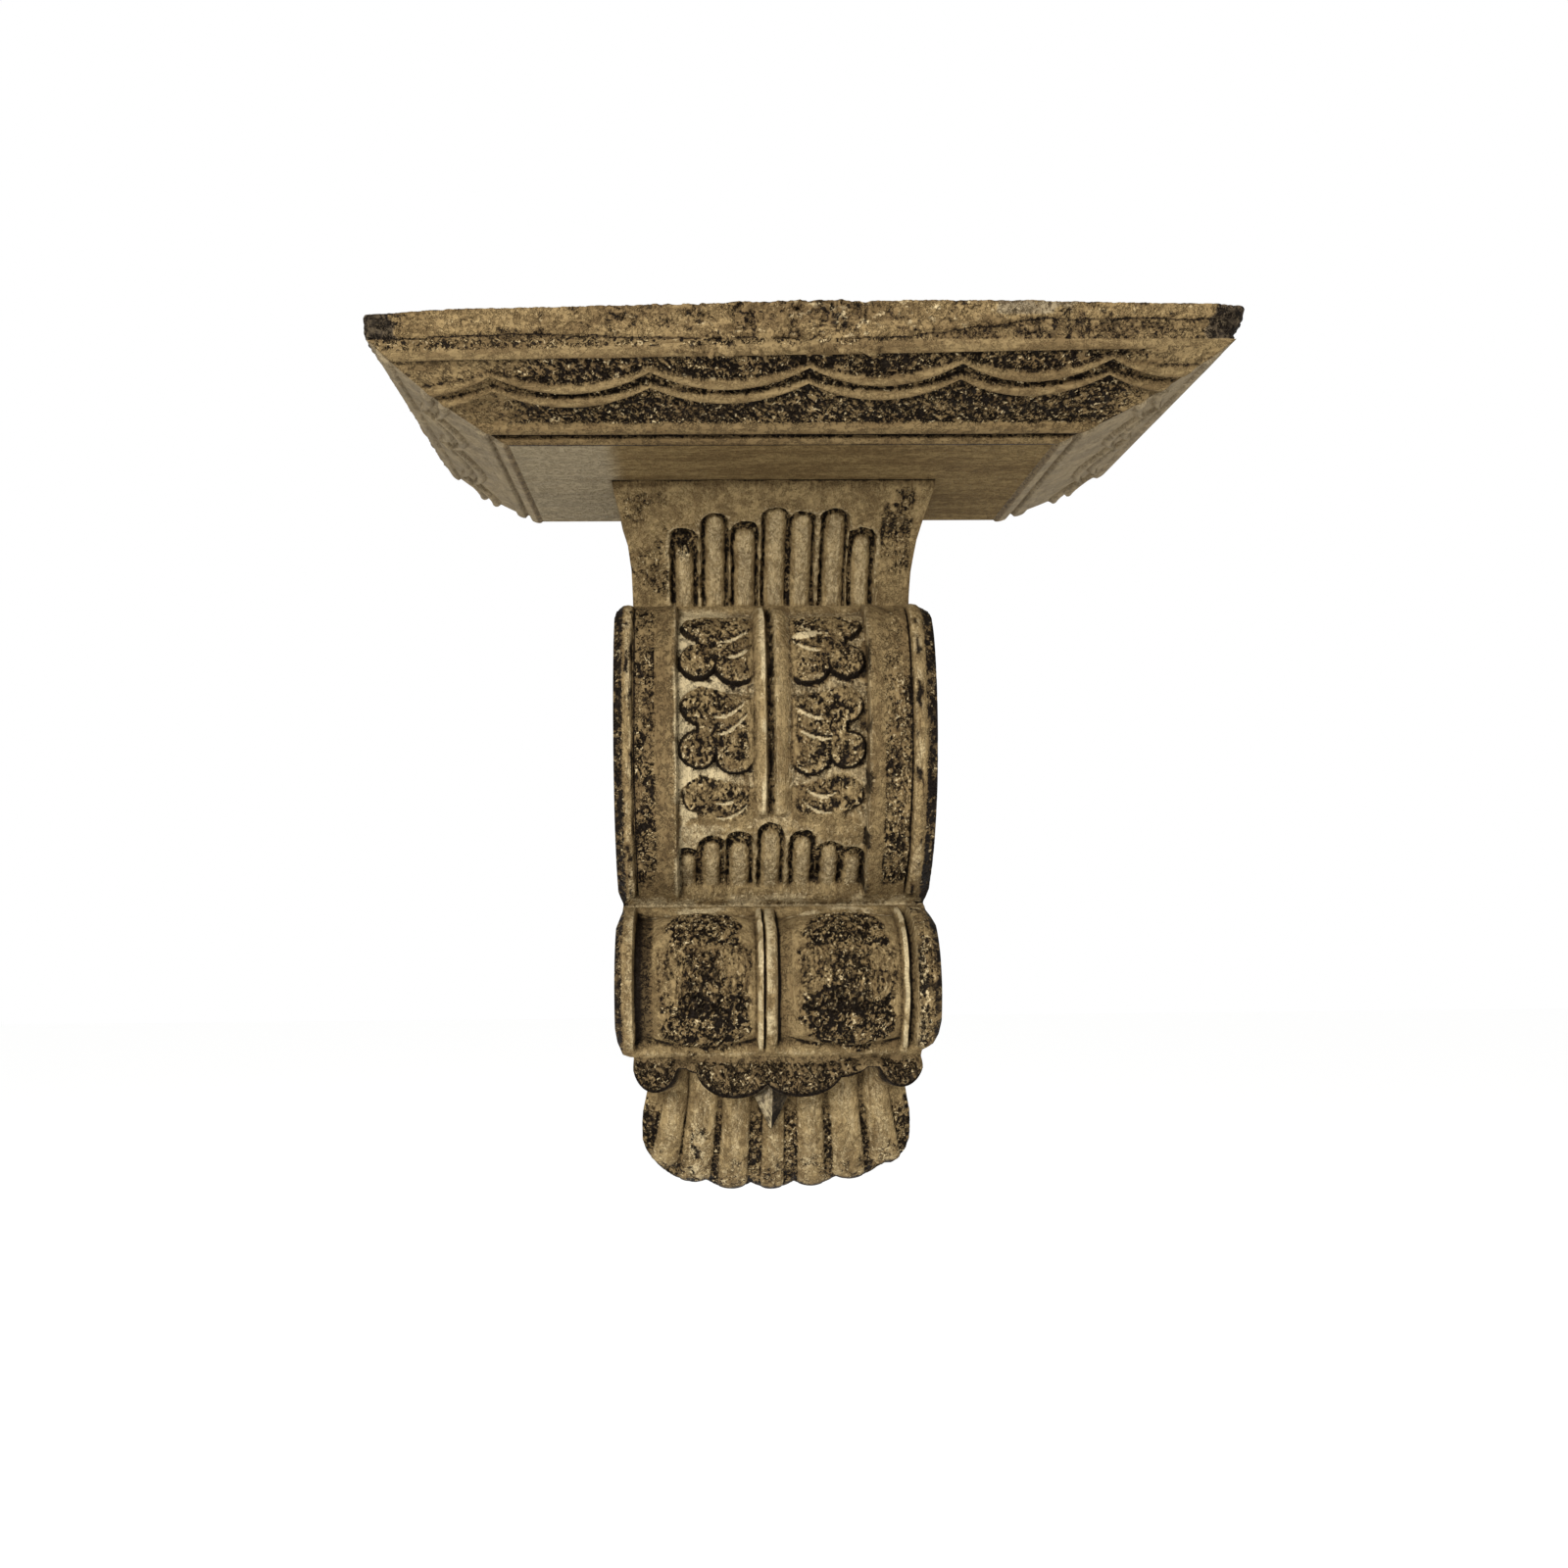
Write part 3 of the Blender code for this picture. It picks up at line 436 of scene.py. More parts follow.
def leaf_tiers(across, along):
    """Half leaves: height from the nearest lobe's edge, thickest below, with two veins each."""
    carving = Carving(across.shape)
    side = np.abs(across - SCROLL_MIDDLE)
    left = across < SCROLL_MIDDLE
    wander = 0.9 * wobble(along / 5.0, across / 5.0, 31)
    for tier, (top, thick, fade) in enumerate(zip(LEAF_TIERS, TIER_THICK, TIER_FADES)):
        level = along - top
        start = TIER_SLANT * (TIER_OUTER - side) / (TIER_OUTER - TIER_INNER)
        inside = np.minimum.reduce([side - TIER_INNER, TIER_OUTER - side, level - start * (tier > 0),
                                    TIER_HEIGHT - level])
        for centre, down, radius in TIER_LOBES:
            inside = np.maximum(inside, radius - np.hypot(side - centre, level - down))
        inside = inside + wander
        ending = 1.0 - 0.85 * step(level, *fade)
        within = step(inside, 0.0, 0.9)
        rise = (0.30 + 0.70 * step(level, 0.0, 14.0)) * step(side, TIER_INNER - 2.0, TIER_INNER + 6.0)
        height = within * rise * thick * ending
        top_zone = within * step(side, TIER_INNER + 0.5, TIER_INNER + 4.0) * ending
        coarse = tracks(across, along, 0.9, 1.3, 33 + tier)
        strokes = tracks(across, along, 0.85, 3.4, 43 + tier)
        upright = step(level, 17.0, 22.0) * (0.9 if tier == 1 else 0.55)
        pits = coarse * (1.0 - upright) + strokes * upright
        lit = np.zeros_like(across)
        shadow = np.zeros_like(across)
        for vein_tier, hand, inner, inner_level, outer, outer_level in VEINS:
            t = (side - inner) / (outer - inner)
            crescent = dome(2.0 * t - 1.0, 1.0) * (vein_tier == tier) * (left == (hand < 0))
            drop = level - inner_level - (outer_level - inner_level) * t
            drop = drop - VEIN_BOW * (1 - (2 * t - 1) ** 2)
            lit = np.maximum(lit, step(VEIN_HALF * crescent - np.abs(drop), 0.0, 0.35))
            shadow = np.maximum(shadow, np.exp(-((drop + VEIN_HALF * crescent + 0.6) / 0.6) ** 2)
                                * step(crescent, 0.05, 0.4))
        ragged = 0.6 * unevenness(across, along, 3.0, 49)
        chip = np.exp(-((side - 13.5) / 5.5) ** 2 - ((level - 15.5) / 2.0) ** 2) * (tier == 0) * ~left
        chip = step(chip + ragged, 0.35, 0.5)
        mine = Carving(across.shape)
        mine.height = height + (0.35 * shadow - 0.8 * lit) * ending
        worn = 0.55 + 0.45 * blotches(across, along, 6.0, 46 + tier, 0.34, 0.50)
        mine.stipple(top_zone * worn * (1.0 - lit) * (1.0 - chip), pits, 0.75, 0.90)
        mine.grain = np.maximum(0.80 * mine.grain, 0.30) * (1.0 - lit)
        # The steep lower wall of each leaf is painted black as its shadow, a little less at the outer
        # end.
        wall = between(inside, 0.0, 0.9, 0.5) * step(level, 3.0, 9.0) * step(side, 7.0, 10.0) * ending
        outward = step(side, 27.0, 32.0) * (1.0 - step(level, 22.0, 30.0))
        mine.stain_and_shade(np.clip(1.25 * wall * (1.0 - 0.35 * outward), 0.0, 1.0))
        mine.stain_and_shade(0.85 * shadow * (1.0 - lit))
        bright = np.maximum(lit * patches(along / 2.0, across / 2.0, 48, 0.05, 0.4), chip)
        mine.rub_and_highlight(np.clip(bright, 0.0, 1.0))
        mine.dark = mine.dark * (1.0 - 0.95 * np.maximum(lit, chip))
        under = between(inside, -1.5, -0.7, 0.4) * step(level, 14.0, 20.0) * step(side, 9.0, 13.0)
        mine.rub_and_highlight(0.55 * under * ending)
        carving.choose(mine, (np.maximum.reduce([within, wall, under]) > 0.0).astype(float))
    return carving


print("leaf tiers:", len(LEAF_TIERS), "with", len(TIER_LOBES), "lobes a side")

# %% [markdown]
# The scroll itself rolls forward between two beaded rims. Its section across could be swept along
# the outline as a solid. As a table of heights it takes a little wander, which a line cut by hand
# has, and the rough bands beside the rims can be stippled one by one. The rib down the middle has a
# section of its own with a black groove, and the small reeds close the panel below.

# %% The upper scroll
# A section is (place across, height above the outline); the scroll's is the same both ways.
SCROLL_SECTION = [(0, -4.6), (38.2, -4.6), (39.0, 0.2), (42, -0.2), (47.5, -1.2), (55.6, -1.4),
                  (56.3, -2.6), (57.2, 0), (59, 0.35), (61, 0), (62.0, -0.9), (66.4, -2.8)]
PANEL_HALF = 38.6
RIB_SECTION = [(-9, 0), (-6.8, 3.2), (-5.0, 3.7), (-4.0, 3.6), (-3.2, 0.2), (-1.8, -1.2),
               (-1.0, 0.4), (0.2, 3.2), (3.6, 2.8), (7, 0)]
RIB_FADE = (170.6, 174.6)
WAIST_SINK = 1.4
GROOVE, RIB_SHINE, PANEL_WALL = (-2.9, -1.1, 0.5), (-5.6, -3.9, 0.7), (37.6, 39.6, 0.6)
LEFT_BAND, RIGHT_BAND, RIM_LINES = (-56.4, -49.2, 1.2), (44.8, 54.6, 1.6), (-57.0, 55.0)
LEFT_BEAD, RIGHT_BEAD = (-60.6, -58.0, 0.6), (56.6, 59.4, 0.6)
OCHRE_BAND, OCHRE_LENGTH = (49.0, 54.5, 2.0), (118.0, 172.0, 12.0)


def upper_carving(across, along):
    """The upper scroll: rims, rough bands, and the panel with rib, leaves and small reeds."""
    offset = across - SCROLL_MIDDLE
    wander = 0.45 * wobble(along / 11.0, across / 30.0, 51)
    ground = table(np.abs(offset) + wander, SCROLL_SECTION)
    in_panel = step(PANEL_HALF - np.abs(offset) + wander, 0.0, 0.6)
    rib_length = 1.0 - step(along, *RIB_FADE)
    rib = table(across + wander, RIB_SECTION) * rib_length
    leaves = leaf_tiers(across, along)
    reeds = reeded(across, along, SMALL_REEDS, SMALL_ARCH_HALF, SMALL_SINK, SMALL_END, 3.5, 53)
    arch_line = table(across, [(centre, arch) for centre, _, arch, _ in SMALL_REEDS])
    above = 1.0 - step(along, arch_line - 1.0, arch_line + 2.0)

    carving = Carving(across.shape)
    in_leaf = in_panel * above
    carving.height = ground + in_panel * (
        (np.maximum(rib, leaves.height) + np.minimum(rib, 0.0)) * above + reeds.height)
    carving.lift(0.35 * unevenness(across, along, 12.0, 55))
    off_rib = 1.0 - between(across, -8.0, 3.8, 1.0) * rib_length
    for name in ("dark", "pale", "grain"):
        mark = in_leaf * getattr(leaves, name) * off_rib + in_panel * getattr(reeds, name)
        setattr(carving, name, mark)
    bare_ground = in_leaf * step(0.6 - leaves.height, 0.0, 0.5) * off_rib
    left_ground = step(-across, 15.0, 26.0)
    carving.rub_and_highlight((0.48 + 0.42 * left_ground) * bare_ground * (1.0 - leaves.dark))

    groove = between(across + wander, *GROOVE) * rib_length
    carving.stain_and_shade(groove * (0.36 + 0.60 * tracks(across, along, 1.0, 1.4, 57)))
    carving.roughen(groove)
    carving.rub_and_highlight(0.8 * between(across + wander, *RIB_SHINE) * rib_length
                * patches(along / 8.0, across / 8.0, 59, 0.25, 0.6))

    length = step(along, NECK_END + 5.0, NECK_END + 10.0)
    low_end = 1.0 - step(along, SMALL_END - 10.0, SMALL_END - 2.0)
    left_band = between(across, *LEFT_BAND) * length * low_end
    right_band = between(across, *RIGHT_BAND) * length * low_end * (
        0.45 + 0.55 * step(along, 100.0, 125.0))
    lumps = blotches(across, along, 7.0, 61, 0.42, 0.58)
    carving.lift(0.5 * left_band * unevenness(across, along, 5.0, 62))
    carving.stipple(left_band * (0.55 + 0.45 * lumps), tracks(across, along, 1.0, 1.5, 63), 0.75, 0.85)
    upright = tracks(across, along, 0.85, 5.0, 65)
    carving.stipple(right_band * (0.70 + 0.30 * lumps), upright, 0.75, 0.90)
    carving.rub_and_highlight(0.66 * right_band * between(upright, 0.04, 0.34, 0.05))
    carving.grain = np.maximum(0.85 * carving.grain, 0.22)
    left_margin = step(-across, 30.0, 40.0)
    inside_rims = 1.0 - step(np.abs(offset), 56.0, 57.0)
    carving.stain_and_shade((0.26 + 0.12 * left_margin) * (1.0 - in_panel) * inside_rims)
    ochre = 0.55 * between(across, *OCHRE_BAND) * between(along, *OCHRE_LENGTH)
    carving.tint = carving.tint + ochre
    for line in RIM_LINES:
        carving.stain_and_shade(0.95 * np.exp(-((across + wander - line) / 0.5) ** 2) * length)
    bead = (between(across, *LEFT_BEAD) + between(across, *RIGHT_BEAD)) * length
    carving.rub_and_highlight(0.50 * bead * patches(along / 6.0, across / 3.0, 67, 0.35, 0.65))
    carving.stain_and_shade(0.85 * bead * blotches(across * 2.0, along, 5.0, 68, 0.55, 0.64))
    outer = step(-across, 60.8, 62.4) + step(across, 60.2, 61.6)
    flecks = tracks(across, along, 1.3, 2.2, 69)
    carving.stain_and_shade(outer * (0.90 - 0.35 * flecks))
    carving.rub_and_highlight(0.45 * outer * patches(along / 2.5, across, 70, 0.62, 0.8))
    carving.roughen(outer * 0.9)
    carving.cut(0.35 * outer * flecks)
    # The panel's walls are painted as lit and shaded: the left one pale, as wear and painted highlight,
    # the right one dark as painted shade.
    wall = between(np.abs(offset) + wander, *PANEL_WALL) * length
    carving.rub_and_highlight(0.75 * wall * (offset < 0.0) * patches(along / 7.0, across / 9.0, 71, 0.2, 0.5))
    carving.stain_and_shade(0.75 * wall * (offset > 0.0) * patches(along / 5.0, across / 9.0, 73, 0.45, 0.7))

    waist = step(along, SMALL_END - 3.5, SMALL_END + 4.0)
    smooth_waist = Carving(across.shape)
    smooth_waist.height = -WAIST_SINK + 0.5 * unevenness(across, along, 10.0, 75)
    smooth_waist.dark = 0.22 * blotches(across, along, 8.0, 77, 0.5, 0.66)
    smooth_waist.dark = np.maximum(smooth_waist.dark, 0.9 * outer)
    # This pale is painted light: it brightens the crease between the scrolls, which lies in shade.
    smooth_waist.pale = 0.34 + 0.36 * blotches(across, along, 6.0, 78, 0.45, 0.65)
    smooth_waist.grain = np.full(across.shape, 0.30)
    carving.choose(smooth_waist, waist)
    start = step(along, NECK_END + 3.0, NECK_END + 12.0)
    carving.height = carving.height * start
    for name in ("dark", "pale", "grain"):
        setattr(carving, name, getattr(carving, name) * (0.15 + 0.85 * start))
    return carving


print("upper scroll:", round(WAIST_AT - NECK_END), "mm along the outline")

# %% [markdown]
# The lower scroll is shorter and rounder. Two drums swell between a split rib and the side discs.
# Their ground was worked in three ways: coarse jabs above, upright scratches across the middle and
# deep, nearly black jabs below. The margins were scraped smooth and took the wash best.

# %% The lower scroll
DRUM_SECTION = [(-65.3, -2.5), (-63, -0.8), (-61.6, 0), (-58.2, -0.2), (-57.4, -4.4),
                (-56.4, -4.9), (-54.0, -4.6), (-51.5, -4.0), (-50, -3.6), (-8.6, -3.6),
                (-7.4, -1.0), (-5.8, -0.4), (-5.2, -3.2), (-4.4, -0.8), (-1.0, -0.6), (-0.2, -1.6),
                (0.4, -4.8), (1.4, -5.0), (3.4, -4.2), (7, -3.6), (49.4, -3.6), (50.6, -1.0),
                (52.2, -0.6), (52.9, -4.6), (54.6, -4.8), (56.0, -0.2), (59.8, 0), (61.5, -0.6),
                (65.3, -2.5)]
# A drum is its middle and half width; a groove or ridge is its start, end and strength.
DRUMS = [(-29.3, 20.7), (27.8, 21.6)]
DRUM_SWELL = 3.7
# The dark grooves are dark coat and also painted shade; the pale ridges are rubbed wash and also
# painted highlight.
DARK_GROOVES = [(-57.3, -56.2, 1.0), (0.1, 1.1, 1.0), (52.7, 53.8, 1.0), (-5.6, -4.9, 0.9)]
LEFT_SCOOP, RIB_SCOOP, RIGHT_DISC = (-56.0, -51.0, 1.5), (1.2, 5.0, 1.5), (56.4, 61.6, 0.8)
PALE_RIDGES = [(-7.6, -6.2, 0.95), (-4.2, -2.4, 0.85), (50.6, 52.2, 0.9), (-60.9, -58.4, 0.6),
               (56.4, 59.6, 0.45)]


def lower_carving(across, along):
    """The lower scroll: its section across, swollen to two drums that fade out at both ends."""
    carving = Carving(across.shape)
    share = (along - WAIST_AT) / (END_AT - WAIST_AT)
    wander = 0.5 * wobble(along / 8.0, across / 30.0, 81)
    section = table(across + wander, DRUM_SECTION)
    lens, hatch, core, low = (np.zeros_like(across) for _ in range(4))
    arcs = np.zeros_like(across)
    crown = np.zeros_like(across)
    for centre, half in DRUMS:
        reach = np.abs(across - centre) / half
        bow = np.minimum(reach, 1.0) ** 2
        first, last = WAIST_AT + 3.0 + 6.0 * bow, END_AT - 1.5 - 6.0 * bow
        ends = step(along, first, first + 15.0) * (1.0 - step(along, last - 7.0, last))
        section = section + DRUM_SWELL * dome(across - centre, half) * ends
        ragged = 0.40 * unevenness(across, along, 5.0, 86)
        edge = reach + ragged
        lens = np.maximum(lens, between(share, 0.12 + 0.30 * bow, 0.415, 0.015)
                          * (1.0 - step(edge, 0.68, 0.80)))
        hatch = np.maximum(hatch, between(share, 0.43, 0.72, 0.02) * (1.0 - step(reach, 0.90, 0.98)))
        core = np.maximum(core, between(share, 0.46, 0.72, 0.04) * (1.0 - step(edge, 0.26, 0.50)))
        low = np.maximum(low, between(share + 0.5 * ragged, 0.67, 0.96 - 0.20 * bow, 0.03)
                         * (1.0 - step(edge, 0.80, 0.92)))
        arcs = np.maximum(arcs, between(along, last - 0.6, last + 0.3, 0.6) * (reach < 1.0))
        crown = np.maximum(crown, between(along, first - 1.0, first + 1.5, 1.5) * (reach < 1.08))
    length = step(along, WAIST_AT + 1.0, WAIST_AT + 7.0)
    length = length * (1.0 - step(along, END_AT - 6.0, END_AT - 1.0))
    carving.height = section * length + 0.3 * unevenness(across, along, 9.0, 83)

    carving.stipple(hatch, tracks(across, along, 0.75, 3.6, 87), 0.55, 0.64)
    carving.stain_and_shade(0.18 * hatch)
    carving.grain = 0.40 * carving.grain
    carving.stipple(lens, tracks(across, along, 0.95, 0.8, 85), 0.85, 0.95)
    carving.stipple(core, tracks(across, along, 0.9, 2.4, 88), 0.85, 0.78)
    carving.stipple(low, tracks(across, along, 1.0, 0.9, 89), 0.90, 1.0)
    carving.stain_and_shade(np.maximum(0.22 * lens, 0.16 * core) + 0.36 * low)
    carving.grain = np.maximum(0.90 * carving.grain, 0.22)
    carving.stain_and_shade(0.90 * arcs * length)
    carving.rub_and_highlight(0.70 * crown * patches(along / 3.0, across / 3.0, 90, 0.2, 0.5))
    scoop = (between(across, *LEFT_SCOOP) + 0.6 * between(across, *RIB_SCOOP)) * length
    carving.stain_and_shade(0.66 * scoop)
    # Grooves painted dark, as dark coat and as shade; ridges painted pale, as wear and as highlight.
    for start, end, amount in DARK_GROOVES:
        carving.stain_and_shade(amount * between(across + wander, start, end, 0.35) * length)
    broken = patches(along / 6.0, across / 4.0, 91, 0.15, 0.45)
    for start, end, amount in PALE_RIDGES:
        carving.rub_and_highlight(amount * between(across + wander, start, end, 0.5) * broken * length)
    right_disc = between(across, *RIGHT_DISC) * length * (0.5 + 0.5 * broken)
    carving.stipple(right_disc, tracks(across, along, 0.9, 4.5, 94), 0.5, 0.74)
    outer = step(np.abs(across), 61.8, 63.0)
    flecks = tracks(across, along, 1.3, 1.6, 93)
    carving.stain_and_shade(outer * (0.55 + 0.45 * flecks) * step(share, 0.03, 0.10))
    carving.roughen(0.8 * outer)
    # Painted light at the top of the lower scroll, brightening the shaded crease of the waist.
    carving.rub_and_highlight(0.6 * (1.0 - step(share, 0.0, 0.03)) * (np.abs(across) < 62.0))
    return carving


print("drums:", len(DRUMS), "and they swell", DRUM_SWELL, "mm")

# %% [markdown]
# Below the scroll hangs a lobed valance, and behind it the leaf, a fan of reeds with a scalloped
# end. Both follow a level instead of the outline, because their lower edges are wavy: the grid's
# rows are shared out between a top line and that edge. A pointed tongue like a cut gem hangs over
# the middle reed, its left facet painted silvery as a sheen and its right one painted nearly black
# as shade.

# %% Valance, leaf and tongue
# A lobe or a reed is its middle, its half width and its lowest level.
VALANCE_LOBES = [(-49.6, 9.0, 246.0), (-32.5, 9.0, 238.4), (-17.5, 15.5, 248.6), (9.5, 17.0, 248.2),
                 (25.0, 15.0, 240.6), (49.8, 9.2, 244.6)]
VALANCE_NOTCH, LOBE_DEPTH, VALANCE_LEVEL = 234.6, 12.0, 240.0
LEAF_REEDS = [(-47.5, 5.0, 279.8), (-34.5, 6.4, 289.4), (-18.5, 6.0, 293.1), (-1.4, 4.6, 293.4),
              (15.4, 5.6, 292.0), (31.5, 6.4, 288.6), (47.0, 5.6, 280.8)]
LEAF_SCALLOP_HALF, SCALLOP_RISE, LEAF_SINK, LEAF_FAN = 8.2, 2.5, 2.8, 0.13
LEAF_TOP, LEAF_CORNER = 248.0, 279.0
TONGUE_MIDDLE, TONGUE_WALL = -2.4, 0.35
# The tongue's half width, and how far out its ridge stands, by level.
TONGUE_SHAPE = [(241, 1.0), (249.2, 7.3), (263.4, 0.4)]
TONGUE_RIDGE = [(241, 60.5), (249.2, 59.0), (263.4, 46.0)]


def valance_edge(across):
    """Level of the valance's lower edge: round lobes that hang from a notch line."""
    edge = np.full_like(across, VALANCE_NOTCH)
    for centre, half, low in VALANCE_LOBES:
        edge = np.maximum(edge, low - LOBE_DEPTH * (1.0 - dome(across - centre, half)))
    return edge


def leaf_edge(across):
    """Level of the leaf's scalloped end, one round scallop to a reed."""
    return np.maximum.reduce([low - SCALLOP_RISE * ((across - centre) / LEAF_SCALLOP_HALF) ** 2
                              for centre, _, low in LEAF_REEDS])


def valance_carving(across, down, share):
    """Slanting jabs on the lobes, and a dark rim along their lower edge."""
    carving = Carving(across.shape)
    lobed = step(valance_edge(across) - VALANCE_NOTCH, 2.0, 6.0)
    slant = across - 0.6 * down
    pits = tracks(slant, down, 0.75, 3.8, 101)
    carving.stipple(lobed * between(share, 0.22, 0.93, 0.1), pits, 0.7, 0.76)
    carving.pale = 0.6 * carving.pale
    carving.grain = np.maximum(0.9 * carving.grain, 0.30)
    carving.stain_and_shade(0.40 + 0.12 * lobed * share)
    carving.stain_and_shade(step(share, 0.84, 0.96))
    carving.tint = np.full(across.shape, -0.1)
    return carving


def leaf_carving(across, down):
    """How far out the leaf stands, and its paint: a fan of reeds, flaked and darker lower down."""
    carving = Carving(across.shape)
    curve = smooth_curve(LEAF)
    end = leaf_edge(across)
    fall = np.clip((down - LEAF_TOP) / (end - LEAF_TOP), 0.0, 1.0)
    spread = across / (1.0 - LEAF_FAN + LEAF_FAN * fall)
    reeds = np.zeros_like(across)
    for centre, half, low in LEAF_REEDS:
        beyond = np.clip(down - (low - half * 0.75), 0.0, None)
        reeds = np.maximum(reeds, dome(np.hypot(spread - centre, beyond), half + 0.5) ** 0.7)
    carving.height = np.interp(down, curve[:, 1], curve[:, 0]) - LEAF_SINK * (1.0 - reeds)
    carving.cut(3.0 * (1.0 - dome(np.clip(down - end + 4.0, 0.0, 4.0), 4.2)))
    carving.lift(0.5 * unevenness(across, down, 8.0, 103))
    gap = (1.0 - step(reeds, 0.20, 0.60)) * step(fall, 0.0, 0.35)
    carving.stipple(gap, 0.25 + 0.75 * tracks(across, down, 0.9, 1.3, 105), 0.8, 0.84)
    carving.pale = 0.6 * carving.pale
    lower = between(fall, 0.72, 1.0, 0.2) * blotches(across, down, 4.0, 106, 0.42, 0.60)
    carving.stipple(0.7 * lower, tracks(across, down, 0.9, 2.0, 108), 0.5, 0.70)
    carving.grain = np.maximum(0.8 * carving.grain, 0.20)
    held = 0.6 + 0.4 * patches(across / 2.5, down / 12.0, 110, 0.3, 0.6)
    # The reeds' backs are rubbed pale, as wear and as a painted highlight.
    carving.rub_and_highlight(0.44 * step(reeds, 0.60, 0.95) * held)
    flaws = blotches(across, down, 5.0, 104, 0.60, 0.70)
    carving.cut(0.3 * flaws)
    carving.stain_and_shade(0.28 * flaws)
    flaked = np.exp(-((spread + 34.5) / 5.0) ** 2) * between(fall, 0.38, 1.0, 0.1)
    carving.stipple(flaked * patches(across / 3.0, down / 3.0, 107, 0.35, 0.6),
                    tracks(across, down, 1.7, 1.0, 109), 0.8, 0.8)
    carving.rub_and_highlight(0.8 * flaked * patches(across / 2.2, down / 2.2, 111, 0.55, 0.7))
    carving.stain_and_shade(0.95 * step(down - end, -2.6, -0.6) * (0.6 + 0.4 * hills(across / 3.0, down, 113)))
    strips = step(np.abs(across), 51.5, 53.5) * step(fall, 0.02, 0.1)
    carving.stipple(strips, tracks(across, down, 1.3, 1.3, 115), 0.5, 0.8)
    carving.stain_and_shade(0.16 * (1.0 - step(fall, 0.0, 0.10)))

    half = np.interp(down, *np.array(TONGUE_SHAPE).T, left=0.01, right=0.01)
    keel = 1.0 - np.abs(across - TONGUE_MIDDLE) / half
    rise = np.where(keel > 0.0, TONGUE_WALL + (1.0 - TONGUE_WALL) * keel, 0.0) * (half > 0.3)
    ridge = table(down, TONGUE_RIDGE)
    on_tongue = step(keel, 0.0, 0.06) * (half > 0.3)
    carving.lift(np.clip(ridge - carving.height, 0.0, None) * rise)
    facet = Carving(across.shape)
    facet.height = carving.height
    # The facets are painted as a lit and a shaded side: the right one darker as shade, the left one
    # lighter with pale specks of painted sheen.
    right = step(across, TONGUE_MIDDLE - 0.3, TONGUE_MIDDLE + 0.3)
    tip = step(down, 254.0, 262.0)
    facet.dark = np.clip(0.46 + 0.24 * right + 0.60 * tip * (0.35 + 0.65 * right), 0.0, 1.0)
    sheen_specks = patches(across / 0.9, down / 0.9, 117, 0.52, 0.66)
    facet.dark = facet.dark * (1.0 - (1.0 - right) * sheen_specks)
    facet.pale = (1.0 - right) * sheen_specks * step(down, 246.0, 250.0)
    facet.grain = 0.2 * np.ones(across.shape)
    facet.tint = np.full(across.shape, -1.0)
    carving.choose(facet, on_tongue)
    return carving


print("leaf reeds:", len(LEAF_REEDS), "valance lobes:", len(VALANCE_LOBES))

# %% [markdown]
# The sides of the block are plainer. Carvers cut a rim that follows the outline and let it roll up
# into a scroll round an eye. The roll is a spiral: going once round the eye it moves out by one
# pitch, so a point lies on the ridge when its distance, less the share of a turn, is near a whole
# number of pitches.

# %% The sides of the corbel
SIDE_RECESS, RIM_WIDTH = 2.0, 7.5
# A scroll is its middle (out, down), the radius of its eye, and how far the spiral reaches.
SIDE_SCROLLS = [(40.0, 92.0, 7.0, 27.0), (43.0, 202.0, 6.0, 23.5)]
SCROLL_PITCH = 8.5
SIDE_SINK_TOP, SIDE_SINK_LOW = (54.0, 60.0), (220.5, 226.5)


def side_carving(out, down, sign):
    """The recess behind the rim, with a spiral ridge round an eye in each scroll."""
    carving = Carving(out.shape)
    distance = outline_distance(out, down)
    sunk = step(distance, RIM_WIDTH, RIM_WIDTH + 1.2) * step(down, *SIDE_SINK_TOP) * (
        1.0 - step(down, *SIDE_SINK_LOW))
    ridge = np.zeros_like(out)
    for centre_out, centre_down, eye, reach in SIDE_SCROLLS:
        x, y = out - centre_out, down - centre_down
        radius = np.hypot(x, y)
        turn = (radius - eye) / SCROLL_PITCH - np.arctan2(y, x) / (2.0 * np.pi)
        roll = dome(turn - np.round(turn), 0.30) * (1.0 - step(radius, reach - 2.0, reach))
        ridge = np.maximum(ridge, np.maximum(roll, dome(radius, eye)))
    pits = tracks(out, down, 1.9, 1.3, 121)
    carving.height = -SIDE_RECESS * sunk * (1.0 - ridge)
    ground = sunk * (1.0 - step(ridge, 0.1, 0.5))
    carving.stipple(0.5 * ground, pits, 0.9, 0.70)
    carving.stain_and_shade(0.14 * ground)
    carving.grain = 0.5 * carving.grain
    rim_line = np.exp(-((distance - 5.4) / 0.5) ** 2)
    rim_line = rim_line * step(down, 58.0, 62.0) * (1.0 - step(down, 218.0, 224.0))
    carving.cut(0.7 * rim_line * (1.0 - sunk))
    carving.stain_and_shade(0.8 * rim_line * (1.0 - sunk))
    worn = 1.0 - step(distance, 1.0, 4.0)
    near_front = step(out, 6.0, 20.0)
    carving.stain_and_shade(worn * near_front * (0.45 + 0.4 * pits) * step(down, 46.0, 50.0))
    carving.roughen(0.35)
    carving.lift(0.3 * unevenness(out, down, 13.0, 123 + sign) * near_front)
    return carving


volutes = side_carving(*np.mgrid[5.0:65.0:61j, 60.0:220.0:161j], 1).height
print("a side is cut", round(float(-volutes.min()), 1), "mm deep round its volutes")

# %% [markdown]
# The sheets now become one closed mesh. They could be made as separate objects and welded by
# distance. Here they share their border points from the start: each sheet is a grid of point
# numbers, and a sheet that begins at another's edge reuses that edge's numbers. Flat parts, such as
# the back, are single faces.

